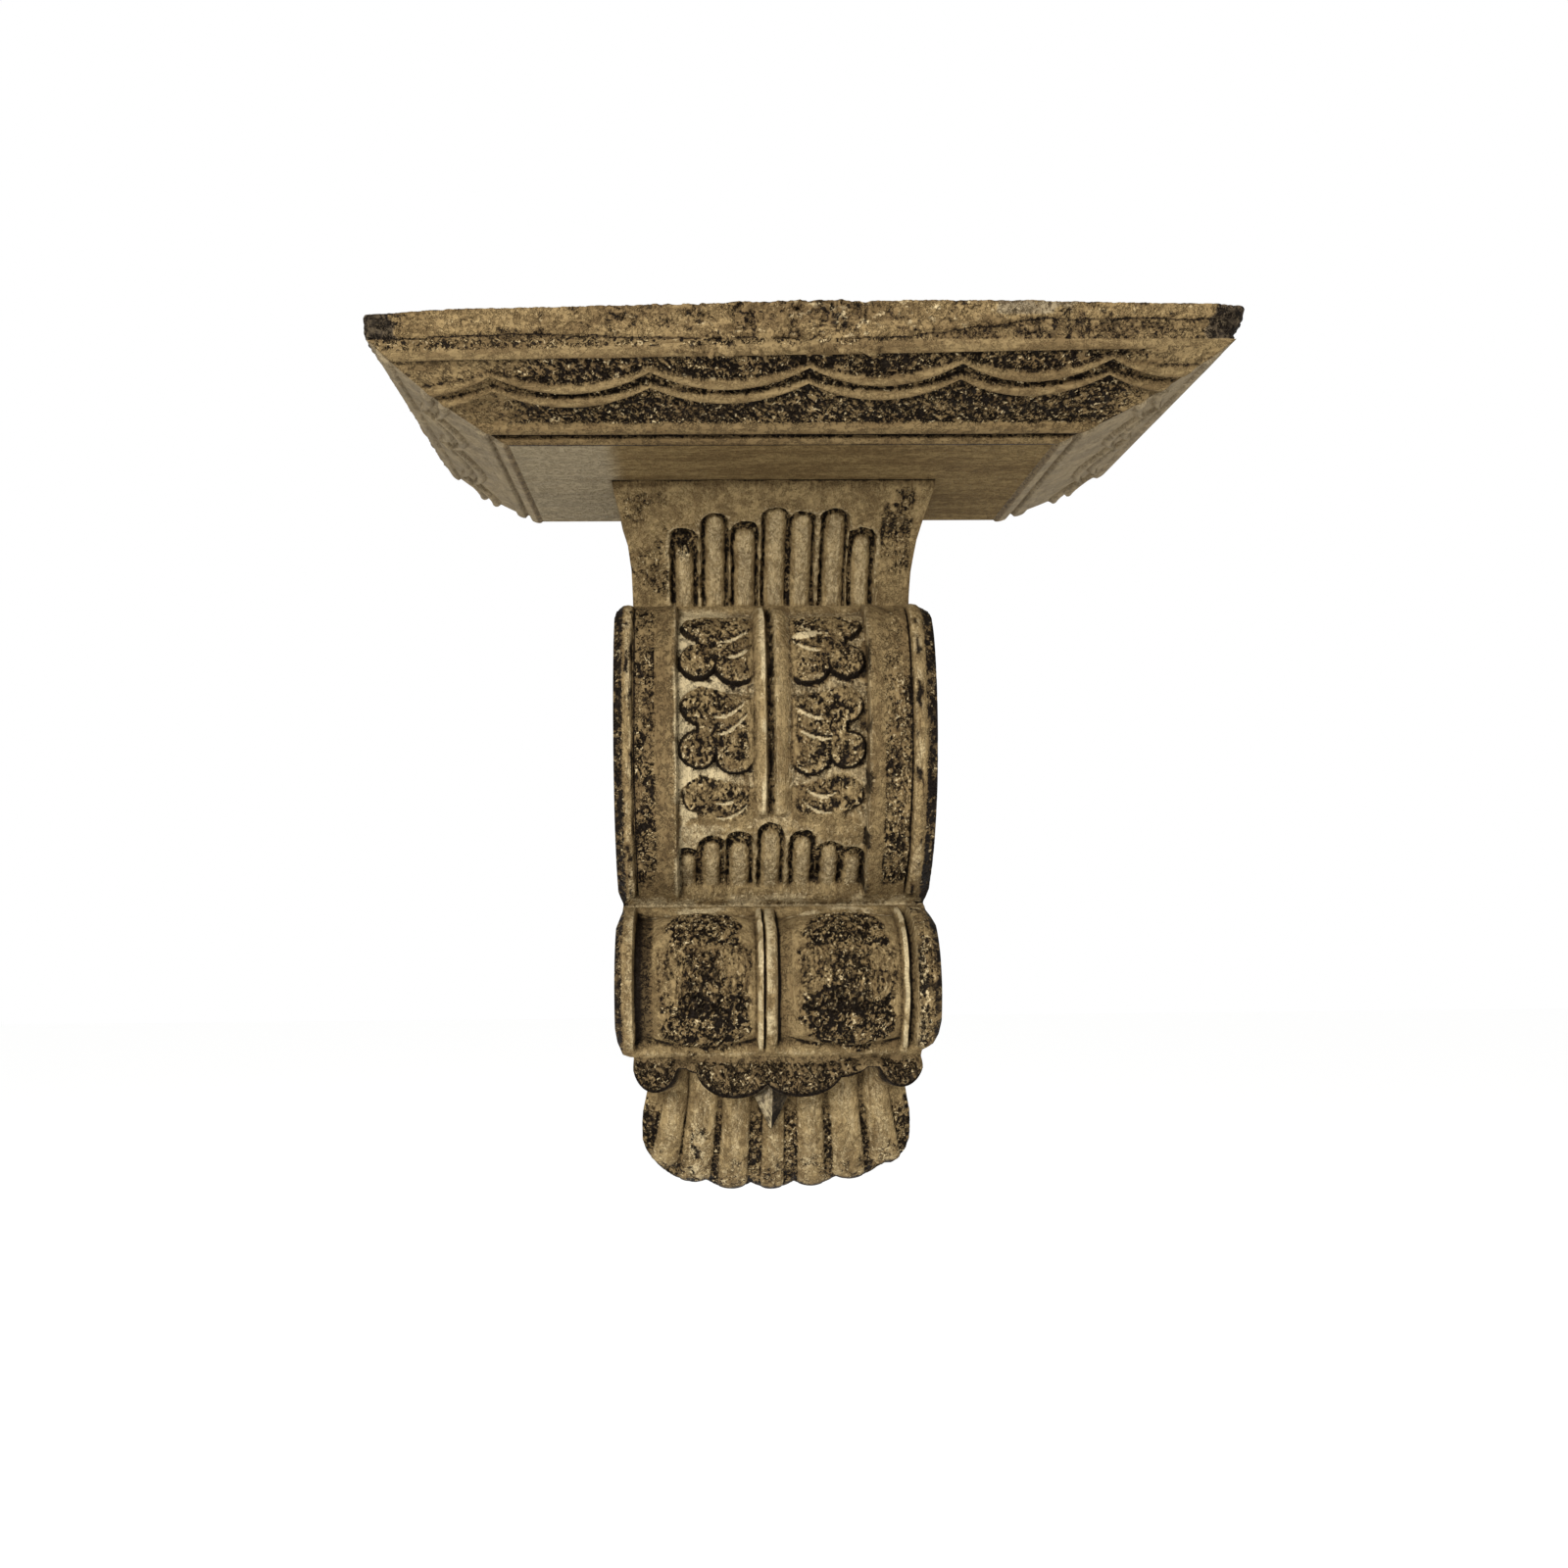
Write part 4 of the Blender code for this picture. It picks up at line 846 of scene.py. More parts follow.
# %% Sheets of points joined into one mesh
class Sheets:
    """Points and faces of one piece, gathered from grids that reuse each other's borders."""

    def __init__(self):
        self.points, self.marks, self.faces, self.flats = [], [], [], []
        self.count = 0

    def add(self, points, carving, fresh):
        """Keeps the points where fresh is True and returns a number for each, -1 for the rest."""
        numbers = np.full(fresh.shape, -1)
        numbers[fresh] = np.arange(self.count, self.count + fresh.sum())
        self.count += int(fresh.sum())
        self.points.append(points[fresh])
        self.marks.append(np.stack([getattr(carving, name)[fresh] for name in MARKS], axis=-1))
        return numbers

    def quads(self, numbers, flip):
        """Four-sided faces between neighbours of a grid of numbers."""
        corners = [numbers[:-1, :-1], numbers[:-1, 1:], numbers[1:, 1:], numbers[1:, :-1]]
        grid = np.stack(corners[::-1] if flip else corners, axis=-1).reshape(-1, 4)
        self.faces.append(grid)

    def flat(self, loop, slot):
        """One face round a loop of numbers, with a material slot of its own."""
        self.flats.append((np.asarray(loop), slot))

    def mesh(self, name):
        points = np.vstack(self.points)
        marks = np.vstack(self.marks)
        quads = np.vstack(self.faces)
        sizes = np.concatenate([np.full(len(quads), 4), [len(loop) for loop, _ in self.flats]])
        loops = np.concatenate([quads.ravel()] + [loop for loop, _ in self.flats])
        mesh = bpy.data.meshes.new(name)
        mesh.vertices.add(len(points))
        mesh.vertices.foreach_set("co", points.ravel())
        mesh.loops.add(len(loops))
        mesh.loops.foreach_set("vertex_index", loops.astype(np.int32))
        mesh.polygons.add(len(sizes))
        mesh.polygons.foreach_set("loop_start", (np.cumsum(sizes) - sizes).astype(np.int32))
        slots = np.concatenate([np.zeros(len(quads), int), [slot for _, slot in self.flats]])
        mesh.polygons.foreach_set("material_index", slots.astype(np.int32))
        mesh.update(calc_edges=True)
        for index, mark in enumerate(MARKS):
            layer = mesh.attributes.new(mark, "FLOAT", "POINT")
            layer.data.foreach_set("value", marks[:, index].astype(np.float32))
        print(name, len(points), "points,", len(sizes), "faces, broken:", mesh.validate())
        return mesh


print("marks kept at each point:", MARKS)

# %% [markdown]
# The full grid has more faces than a shared part should carry, and most lie on smooth wood. A
# coarser grid would save as many, but it would blur the gouge marks first. Thinning by collapse takes
# the faces where the surface is nearly flat. The flat sides, such as the back, are then put back on
# their planes, and the volume and the open edges are measured.

# %% Thinning and measuring
def volume_and_gaps(mesh):
    """Volume in litres, positive when faces point outwards, and the number of open edges."""
    mesh.calc_loop_triangles()
    corners = np.empty(len(mesh.loop_triangles) * 3, dtype=np.int32)
    mesh.loop_triangles.foreach_get("vertices", corners)
    points = np.empty(len(mesh.vertices) * 3, dtype=np.float32)
    mesh.vertices.foreach_get("co", points)
    a, b, c = np.moveaxis(points.reshape(-1, 3)[corners.reshape(-1, 3)].astype(float), 1, 0)
    edges = corners.reshape(-1, 3)[:, [0, 1, 1, 2, 2, 0]].reshape(-1, 2)
    _, uses = np.unique(np.sort(edges, axis=1), axis=0, return_counts=True)
    return float(np.einsum("ij,ij->", a, np.cross(b, c))) / 6 * 1000, int((uses != 2).sum())


MOST_TRIANGLES = 195000
SHARP_ANGLE = 48
SNAP = 0.0001


def finished(name, mesh, planes):
    """Thins the mesh, puts its flat sides back on their planes and shades it smooth."""
    piece = bpy.data.objects.new(name, mesh)
    bpy.context.scene.collection.objects.link(piece)
    mesh.calc_loop_triangles()
    thinning = piece.modifiers.new("Thin", "DECIMATE")
    thinning.ratio = min(1.0, MOST_TRIANGLES / len(mesh.loop_triangles))
    thinning.use_collapse_triangulate = True
    graph = bpy.context.evaluated_depsgraph_get()
    thin = bpy.data.meshes.new_from_object(piece.evaluated_get(graph), preserve_all_data_layers=True,
                                           depsgraph=graph)
    piece.modifiers.clear()
    piece.data = thin
    thin.name = name
    points = np.empty(len(thin.vertices) * 3, dtype=np.float32)
    thin.vertices.foreach_get("co", points)
    points = points.reshape(-1, 3)
    for axis, level in planes:
        near = np.abs(points[:, axis] - level) < SNAP
        points[near, axis] = level
    thin.vertices.foreach_set("co", points.ravel())
    slots = np.empty(len(thin.polygons), dtype=np.int32)
    thin.polygons.foreach_get("material_index", slots)
    thin.polygons.foreach_set("use_smooth", slots == 0)
    thin.set_sharp_from_angle(angle=np.radians(SHARP_ANGLE))
    thin.update()
    volume, gaps = volume_and_gaps(thin)
    print(name, len(thin.polygons), "triangles,", round(volume, 3), "litres, open edges:", gaps)
    return piece


print("triangles to a piece, at most:", MOST_TRIANGLES)

# %% [markdown]
# The corbel's sheets: the front from cap to leaf, a side either way from its edges back to the wall,
# and the underside. Millimetres of the drawing become metres here, with the cap's top at the top of
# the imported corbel.

# %% The corbel
FRONT_COLUMNS, SCROLL_ROWS, VALANCE_ROWS, UNDER_ROWS, LEAF_ROWS, SIDE_COLUMNS = 250, 430, 24, 8, 84, 52
# Places where the grid lines crowd together, in millimetres across and along.
COLUMN_PLACES = [-57.0, -39.5, -6.0, 0.0, 37.5, 54.5]
ROW_PLACES = [16.0, 22.0, 108.0, 146.0, 182.0, 190.0, 222.0]
CELLS = 3


def corbel_front():
    """The front's points in millimetres (across, out, down), and its carving."""
    crowded = [place / FULL for place in COLUMN_PLACES]
    span = graded(-1.0, 1.0, FRONT_COLUMNS, crowded, 0.05, 1.0)[None, :]
    along = graded(0.0, END_AT, SCROLL_ROWS, ROW_PLACES, 6.0, 0.9)[:, None]
    level = outline_point(along)[1]
    level = level + DISC_LIFT * step(level, *DISC_LIFT_LEVELS) * (span > 0.0)
    across = table(level, BLOCK_WIDTHS) * span
    along = np.broadcast_to(along, across.shape)
    out, down = outline_point(along)
    normal_out, normal_down = outline_normal(along)
    carving = neck_carving(across, along)
    carving.choose(upper_carving(across, along), (along >= NECK_END).astype(float))
    carving.choose(lower_carving(across, along), (along >= WAIST_AT).astype(float))
    # Hollows and edges of the front take dark and pale, as paint and as painted shade and highlight.
    weathered_and_shaded(carving, CELLS, wear_and_highlight=0.50)
    carving.height[0] = 0.0
    scroll = np.stack([across, out + carving.height * normal_out, down + carving.height * normal_down],
                      axis=-1)

    flap = smooth_curve(VALANCE)
    share = np.linspace(0.0, 1.0, VALANCE_ROWS)[1:, None]
    across = VALANCE_HALF * span * np.ones_like(share)
    edge = valance_edge(across)
    down = VALANCE[0][1] + (edge - VALANCE[0][1]) * share
    out = np.interp(share * arc_length(flap)[-1], arc_length(flap), flap[:, 0]) * np.ones_like(across)
    hanging = weathered_and_shaded(valance_carving(across, down, share * np.ones_like(across)), 2)
    valance = np.stack([across, out + hanging.height, down], axis=-1)

    leaf_half = table(VALANCE_LEVEL, LEAF_WIDTHS)
    share = np.linspace(0.0, 1.0, UNDER_ROWS)[1:, None]
    across = span * (VALANCE_HALF + (leaf_half - VALANCE_HALF) * share)
    down = edge[-1:] + 1.2 * share
    hidden = leaf_carving(across, down)
    out = valance[-1:, :, 1] * (1.0 - share) + hidden.height * share
    hidden.stain_and_shade(np.broadcast_to(0.75 * (1.0 - share), across.shape))
    under = np.stack([across, out, down], axis=-1)

    share = np.linspace(0.0, 1.0, LEAF_ROWS)[1:, None]
    start = down[-1:]
    across = span * table(start + (LEAF_CORNER - start) * share, LEAF_WIDTHS)
    down = start + (leaf_edge(across) - start) * share
    # The leaf's hollows and edges too, as paint and as painted shade and highlight.
    fan = weathered_and_shaded(leaf_carving(across, down), CELLS, wear_and_highlight=0.50)
    leaf = np.stack([across, fan.height, down], axis=-1)
    return np.vstack([scroll, valance, under, leaf]), stacked((carving, hanging, hidden, fan))


def to_metres(points):
    """From (across, out, down) in millimetres of the drawing to the frame's x, y and z."""
    across, out, down = np.moveaxis(points * PART, -1, 0)
    return np.stack([across, -out, corbel_high.z - down], axis=-1)


def corbel_mesh():
    sheets = Sheets()
    front, carving = corbel_front()
    rows = len(front)
    numbers = sheets.add(to_metres(front), carving, np.ones(front.shape[:2], bool))
    sheets.quads(numbers, True)
    back = np.linspace(0.0, 1.0, SIDE_COLUMNS)[None, :]
    sides = []
    for column, sign in ((0, -1), (-1, 1)):
        out = front[:, column, 1][:, None] * (1.0 - back)
        down = front[:, column, 2][:, None] * np.ones_like(back)
        face = weathered_and_shaded(side_carving(out, down, sign), 2)
        lift = face.height * step(back, 0.0, 0.05)
        lift[-1] = 0.0
        across = front[:, column, 0][:, None] + sign * lift
        fresh = np.ones(out.shape, bool)
        fresh[:, 0] = False
        grid = sheets.add(to_metres(np.stack([across, out, down], axis=-1)), face, fresh)
        grid[:, 0] = numbers[:, column]
        sheets.quads(grid, sign > 0)
        sides.append(grid)
    left, right = sides

    last = front[-1]
    back = back.T
    base = np.stack([last[:, 0] * np.ones_like(back), last[:, 1] * (1.0 - back),
                     last[:, 2] * np.ones_like(back)], axis=-1)
    under = Carving(base.shape[:2])
    under.stain_and_shade(0.75)
    under.roughen(0.6)
    fresh = np.zeros(base.shape[:2], bool)
    fresh[1:, 1:-1] = True
    grid = sheets.add(to_metres(base), under, fresh)
    grid[0] = numbers[-1]
    grid[:, 0] = left[rows - 1]
    grid[:, -1] = right[rows - 1]
    sheets.quads(grid, True)
    sheets.flat(np.concatenate([numbers[0], right[0, 1:], left[0, :0:-1]]), 0)
    sheets.flat(np.concatenate([left[:, -1], grid[-1, 1:-1], right[::-1, -1]])[::-1], 1)
    return sheets.mesh("corbel-carved")


corbel = finished("corbel-carved", corbel_mesh(), [(1, 0.0), (2, corbel_high.z)])

# %% [markdown]
# The board's moulding runs round three sides and meets in mitres at the front corners. It could be
# a profile swept along a path, but the carver's lines are not parallel: they climb to the right, the
# rough edge is thin at the left, and the swags are spaced by eye. So each side is its own sheet,
# from the top over the edge and down the slope to the soffit, and the sheets share their mitres.

# %% Sizes of the board
SHELF_WIDTH, SHELF_DEPTH, SHELF_SHIFT = 0.3000, 0.1616, 0.0065
EDGE_HEIGHT, MOULDING_DROP = 0.0135, 0.0247
LEFT_INSET, RIGHT_INSET, FRONT_INSET = 0.0434, 0.0547, 0.0414
LIP_DEPTH, LIP_SLOPE, LEFT_FLARE, RIGHT_FLARE, CORNER_RADIUS = 0.0010, 0.0010, 0.0006, 0.0022, 0.0040
MOULDING_SWELL, RAIL_HEIGHT, SWAG_SAG, SWAG_WIDTH, MITRE_FADE = 0.0030, 0.0014, 0.0070, 0.0038, 0.0020
LINE_WIDTH, SWAG_HEIGHT = 0.0010, 0.0021
JAB_DEPTH, GAP_DEPTH, HANGING_LUMP = 0.00080, 0.0006, 0.0026
FACE_TRACK_DEPTH, ARRIS_LOSS = 0.0005, 0.0006
CHIP_MM, RAGGED_MM = 0.9, 2.4
SHELF_TOP = shelf_high.z
EDGE_FOOT = SHELF_TOP - EDGE_HEIGHT
SOFFIT_LEVEL = EDGE_FOOT - MOULDING_DROP

# Along the board from 0 to 1: the share of the edge that is lost, and where its lip lies.
EDGE_LOSS = [(0, 0.37), (0.10, 0.22), (0.21, 0.17), (0.48, 0), (0.75, 0), (0.97, 0.13), (1, 0.20)]
LIP_LINE = [(0, 0.02), (0.20, 0.17), (0.35, 0.03), (0.59, 0.03), (0.78, 0.53), (0.98, 0.53), (1, 0.25)]
TOP_EASE = 0.35
# A rail is its start and end down the slope, its climb to the right, and where it fades.
RAILS = [(0.060, 0.150, 0.10, 0.92), (0.735, 0.835, 0.0, 0.99), (0.885, 0.990, 0.0, 0.99)]
SWAG_LINES = [0.262, 0.385]
SWAG_CLIMB, SWAG_TIP = 0.18, 0.40
# Places along the front, and along a side, where two swags meet.
SWAG_PEAKS = [-0.049, 0.137, 0.322, 0.508, 0.686, 0.860, 1.035]
SIDE_SWAG_PEAKS = [-0.10, 0.152, 0.483, 0.725, 1.05]
LUMPY_LIP, HANGING_LUMPS, RUBBED_LIP = (0.36, 0.58, 0.03), (0.365, 0.575, 0.02), (0.50, 0.68, 0.04)
RAIL_GAP, GREY_PATCH = (0.838, 0.882, 0.008), (0.735, 0.80, 0.03)
MM = 0.001
print("the soffit lies", round((SHELF_TOP - SOFFIT_LEVEL) / MM, 1), "mm under the top")

# %% [markdown]
# Down the slope run three rails, with double swags between the first two. Both could be curves with
# a round bevel. Here a rail is the distance to a straight line and a swag the distance to a row of
# parabolas, because the ground has to be stippled right up to their edges, and the black lines
# beside them, dark paint and painted shade, strongest below each ridge, are the same distance a
# little further out.

# %% Rails and swags
def moulding_carving(share, place, run, length, hand, peaks):
    """The slope's carving, with heights in metres.

    share runs down the slope and place along the side, from 0 to 1, and run is the same in
    millimetres. A rail is a round-backed ridge. A swag hangs from peak to peak as 4t(1 - t), and its
    two lines are thinnest at the peaks. hand is 1 where the lines climb to the right.
    """
    carving = Carving(share.shape)
    slope = share * length / MM
    wander = 0.006 * wobble(run / 14.0, slope / 40.0, 131)
    ridges = np.zeros_like(share)
    dark_lines_and_shade = np.zeros_like(share)
    line_half = LINE_WIDTH / length / 2
    for start, end, climb, fade in RAILS:
        middle = (start + end) / 2 - climb * hand * place
        half = (end - start) / 2
        kept = 1.0 - hand * step(place, fade - 0.03, fade)
        ridges = np.maximum(ridges, np.sqrt(dome(share + wander - middle, half)) * kept)
        beside = share + wander - middle - half * 1.10
        dark_lines_and_shade = np.maximum(dark_lines_and_shade, np.exp(-(beside / line_half) ** 2) * kept)
    carving.height = ridges * RAIL_HEIGHT
    turn = np.interp(place, peaks, np.arange(len(peaks))) % 1.0
    sag = 4.0 * turn * (1.0 - turn)
    for line in SWAG_LINES:
        middle = line - SWAG_CLIMB * hand * place + sag * SWAG_SAG / length
        half = SWAG_WIDTH / length / 2 * (SWAG_TIP + (1.0 - SWAG_TIP) * sag)
        band = dome(share + wander - middle, half) ** 0.7
        ridges = np.maximum(ridges, band)
        carving.height = np.maximum(carving.height, band * SWAG_HEIGHT)
        for side in (-1.15, 1.20):
            edge = share + wander - middle - half * side
            dark_lines_and_shade = np.maximum(dark_lines_and_shade, np.exp(-(edge / line_half) ** 2) * (1.0 if side > 0.0 else 0.75))

    first_rail = RAILS[0][1] - RAILS[0][2] * hand * place
    field = between(share, first_rail, 0.715, 0.012) * (1.0 - step(ridges, 0.0, 0.12))
    rough = hand * (0.45 + 0.55 * step(place, 0.12, 0.22)) * (1.0 - 0.6 * step(place, 0.85, 0.93))
    jabs = tracks(run, slope, 0.85, 1.1, 133)
    upright = tracks(run, slope, 0.80, 2.8, 135)
    low = step(share, 0.50, 0.60) * step(place, 0.30, 0.45)
    pits = (0.20 + 0.80 * (jabs * (1.0 - low) + upright * low))
    carving.cut(JAB_DEPTH * field * rough * pits)
    carving.dark = field * rough * (0.30 + 0.60 * pits)
    carving.pale = 0.40 * field * rough * between(pits, 0.24, 0.44, 0.05)
    carving.grain = np.maximum(0.9 * field * rough, 0.14)
    # Dark lines beside the rails and swags, strongest below each, as dark paint and painted shade.
    carving.stain_and_shade(0.95 * dark_lines_and_shade * (0.30 + 0.70 * hand))
    gap = between(share, *RAIL_GAP)
    carving.stain_and_shade(gap * (0.30 + 0.40 * hand + 0.30 * hand * jabs))
    carving.cut(GAP_DEPTH * gap)
    carving.roughen(0.7 * gap * hand)
    carving.stain_and_shade(step(share, 0.955, 0.970) * (0.45 + 0.55 * hand))
    foot = 0.035 + 0.05 * hills(run / 2.6, slope * 0.0, 138)
    hanging = hand * between(place, *HANGING_LUMPS) * (1.0 - step(share, foot, foot + 0.03))
    hanging = hanging * blotches(run, slope, 4.5, 137, 0.40, 0.56)
    above_rail = between(share, 0.0, first_rail - (RAILS[0][1] - RAILS[0][0]), 0.01)
    carving.stain_and_shade(0.34 * hand * above_rail * (1.0 - 0.5 * step(place, 0.6, 0.8)))
    carving.roughen(0.8 * hand * above_rail)
    carving.lift(HANGING_LUMP * hanging * (0.6 + 0.4 * hills(run / 3.0, slope / 3.0, 139)))
    carving.dark = carving.dark * (1.0 - 0.8 * hanging)
    carving.stain_and_shade(0.50 * between(hanging, 0.12, 0.50, 0.08))
    carving.rub_and_highlight(0.18 * hanging)
    lower_rails = step(share, 0.68, 0.72)
    # The tops of the rails and swags are rubbed pale, as wear and as a painted highlight.
    carving.rub_and_highlight(np.clip(ridges - 0.80, 0.0, 1.0) * (0.3 - 0.2 * hand * lower_rails))
    carving.stain_and_shade(hand * (0.26 + 0.15 * lower_rails))
    carving.tint = carving.tint - 0.60 * (1.0 - hand)
    return carving


print("rails:", len(RAILS), "and swags along the front:", len(SWAG_PEAKS) - 1)

# %% [markdown]
# The rough edge is the board's square side, hacked and not carved. A texture could displace it at
# random. Here its lip, its flare and its loss at both ends are tables along the board, so the tall
# middle, the lumps of filler and the sunken left end lie where the photograph has them, and the
# painted shadow line under the lip follows the lip itself.

# %% The rough edge
def edge_sheet(place, corner, run, rows):
    """The rough edge and the eased margin of the top: inward share, level above the edge's foot.

    The face leans out by its flare as it rises, its lip stands proud above the lip's line, and the
    corner is rounded. Lumps of filler hang over the middle of the lip.
    """
    rise = np.linspace(1.0, 0.0, rows)[:-1, None]
    height = EDGE_HEIGHT * (1.0 - table(place, EDGE_LOSS))
    chips = unevenness(run, np.zeros_like(run), 5.0, 141) * CHIP_MM * MM
    height = height + np.minimum(chips, 0.0) * step(corner, 0.002, 0.006)
    level = rise * height
    ragged = unevenness(run, np.zeros_like(run), 6.0, 143) * RAGGED_MM * MM
    lumpy = between(place, *LUMPY_LIP)
    lip = EDGE_HEIGHT * table(place, LIP_LINE) + ragged * (0.5 + lumpy)
    proud = LIP_DEPTH * step(level, lip, lip + LIP_SLOPE) / FRONT_INSET
    left, right = LEFT_FLARE / LEFT_INSET, RIGHT_FLARE / RIGHT_INSET
    flare = table(place, [(0, left), (0.8, left), (1, right)])
    round_off = 0.3 * CORNER_RADIUS / FRONT_INSET * np.clip(1.0 - corner / CORNER_RADIUS, 0.0, 1.0) ** 2
    carving = Carving(level.shape)
    face_run, face_level = run * np.ones_like(level), level / MM
    bend = 1.6 * hills(face_run / 3.0, face_level / 3.0, 144)
    lumps, lumps_above_for_shading = (0.65 * hills(face_run / 3.6 + bend, at / 3.2 + bend, 145)
                     + 0.35 * layered(face_run, at, 2.4, 146) for at in (face_level, face_level + 0.9))
    carving.height = (lumps - 0.62) * (0.7 + 3.1 * lumpy) * MM
    carving.cut(FACE_TRACK_DEPTH * tracks(face_run, face_level, 0.9, 1.2, 147))
    carving.cut(ARRIS_LOSS * (rise > 0.999))
    above = step(level, lip - 0.0004, lip + 0.0008)
    inward = round_off - flare * rise - proud - carving.height / FRONT_INSET * step(corner, 0.0, 0.004)

    pits = tracks(face_run, face_level, 1.0, 1.2, 149)
    worn = blotches(face_run, face_level, 6.0, 151, 0.42, 0.60)
    # Dark between the lumps, as dark paint and as painted shade.
    hollow_dark_and_shade = (0.20 + 0.80 * lumpy) * step(0.44 - lumps, 0.0, 0.12)
    on_lip = 0.10 + pits * (0.12 + 0.34 * worn) + 0.30 * hollow_dark_and_shade
    carving.dark = np.where(above > 0.5, on_lip, 0.34 + 0.30 * pits)
    # A painted shadow line just under the lip.
    carving.stain_and_shade(0.85 * np.exp(-((level - lip + 0.0002) / 0.00045) ** 2))
    carving.grain = 0.36 * np.ones_like(level)
    carving.tint = above * 0.8
    flecks = blotches(face_run, face_level, 2.2, 153, 0.54, 0.70)
    carving.rub_and_highlight(above * flecks * (0.16 + 0.34 * between(place, *RUBBED_LIP)))
    # The lumps are painted as if lit from above: proud tops and upper sides paler, as wear and painted
    # highlight, and the underside of each lump dark as its painted shadow.
    carving.rub_and_highlight(0.34 * above * step(lumps, 0.58, 0.80))
    carving.stain_and_shade(0.80 * lumpy * step(lumps_above_for_shading - lumps, 0.07, 0.24))
    carving.rub_and_highlight(0.62 * above * lumpy * step(lumps - lumps_above_for_shading, 0.06, 0.22))
    bent = 1.3 * unevenness(face_run, face_level, 5.0, 155)
    grey = 0.8 * step(between(place, *GREY_PATCH) + bent, 0.5, 0.9) * step(face_level, 7.0, 9.0)
    at_corner = step(1.0 - step(corner / MM, 5.0, 14.0) + 0.7 * bent, 0.30, 0.60)
    carving.tint = carving.tint * (1.0 - np.maximum(at_corner, grey)) - np.maximum(at_corner, grey)
    carving.stain_and_shade(0.78 * at_corner * (0.85 + 0.15 * pits))
    carving.stain_and_shade(0.45 * (rise > 0.93) * np.ones_like(level) * (0.4 + 0.6 * worn))

    ease = np.array([1.0, 0.4, 0.1])[:, None]
    margin = EDGE_HEIGHT - (EDGE_HEIGHT - height) * (1.0 - step(ease, 0.0, 1.0))
    top = Carving(margin.shape)
    top.dark = 0.25 * np.ones_like(margin) + 0.4 * (ease < 0.2)
    top.grain = 0.4 * np.ones_like(margin)
    inward = np.vstack([TOP_EASE * ease * np.ones_like(place), inward])
    return inward, np.vstack([margin, level]), stacked((top, carving))


edge_heights = EDGE_HEIGHT / MM * (1.0 - table([0.0, 0.5, 1.0], EDGE_LOSS))
print("rough edge at the left, middle and right:", edge_heights.round(1).tolist(), "mm")

# %% [markdown]
# The board is its three sheets side by side in one wide grid. They could be welded along the mitres
# afterwards. Here the last column of one side is the first column of the next, so a mitre can't open,
# and the soffit, the top and the back close the grid as single faces with slots of their own.

# %% The board
EDGE_ROWS, SLOPE_ROWS = 28, 98
# Left, front and right: inset of the slope, direction away from the board, grid lines.
SIDES = [(LEFT_INSET, (-1.0, 0.0), 200), (FRONT_INSET, (0.0, -1.0), 560),
         (RIGHT_INSET, (1.0, 0.0), 200)]


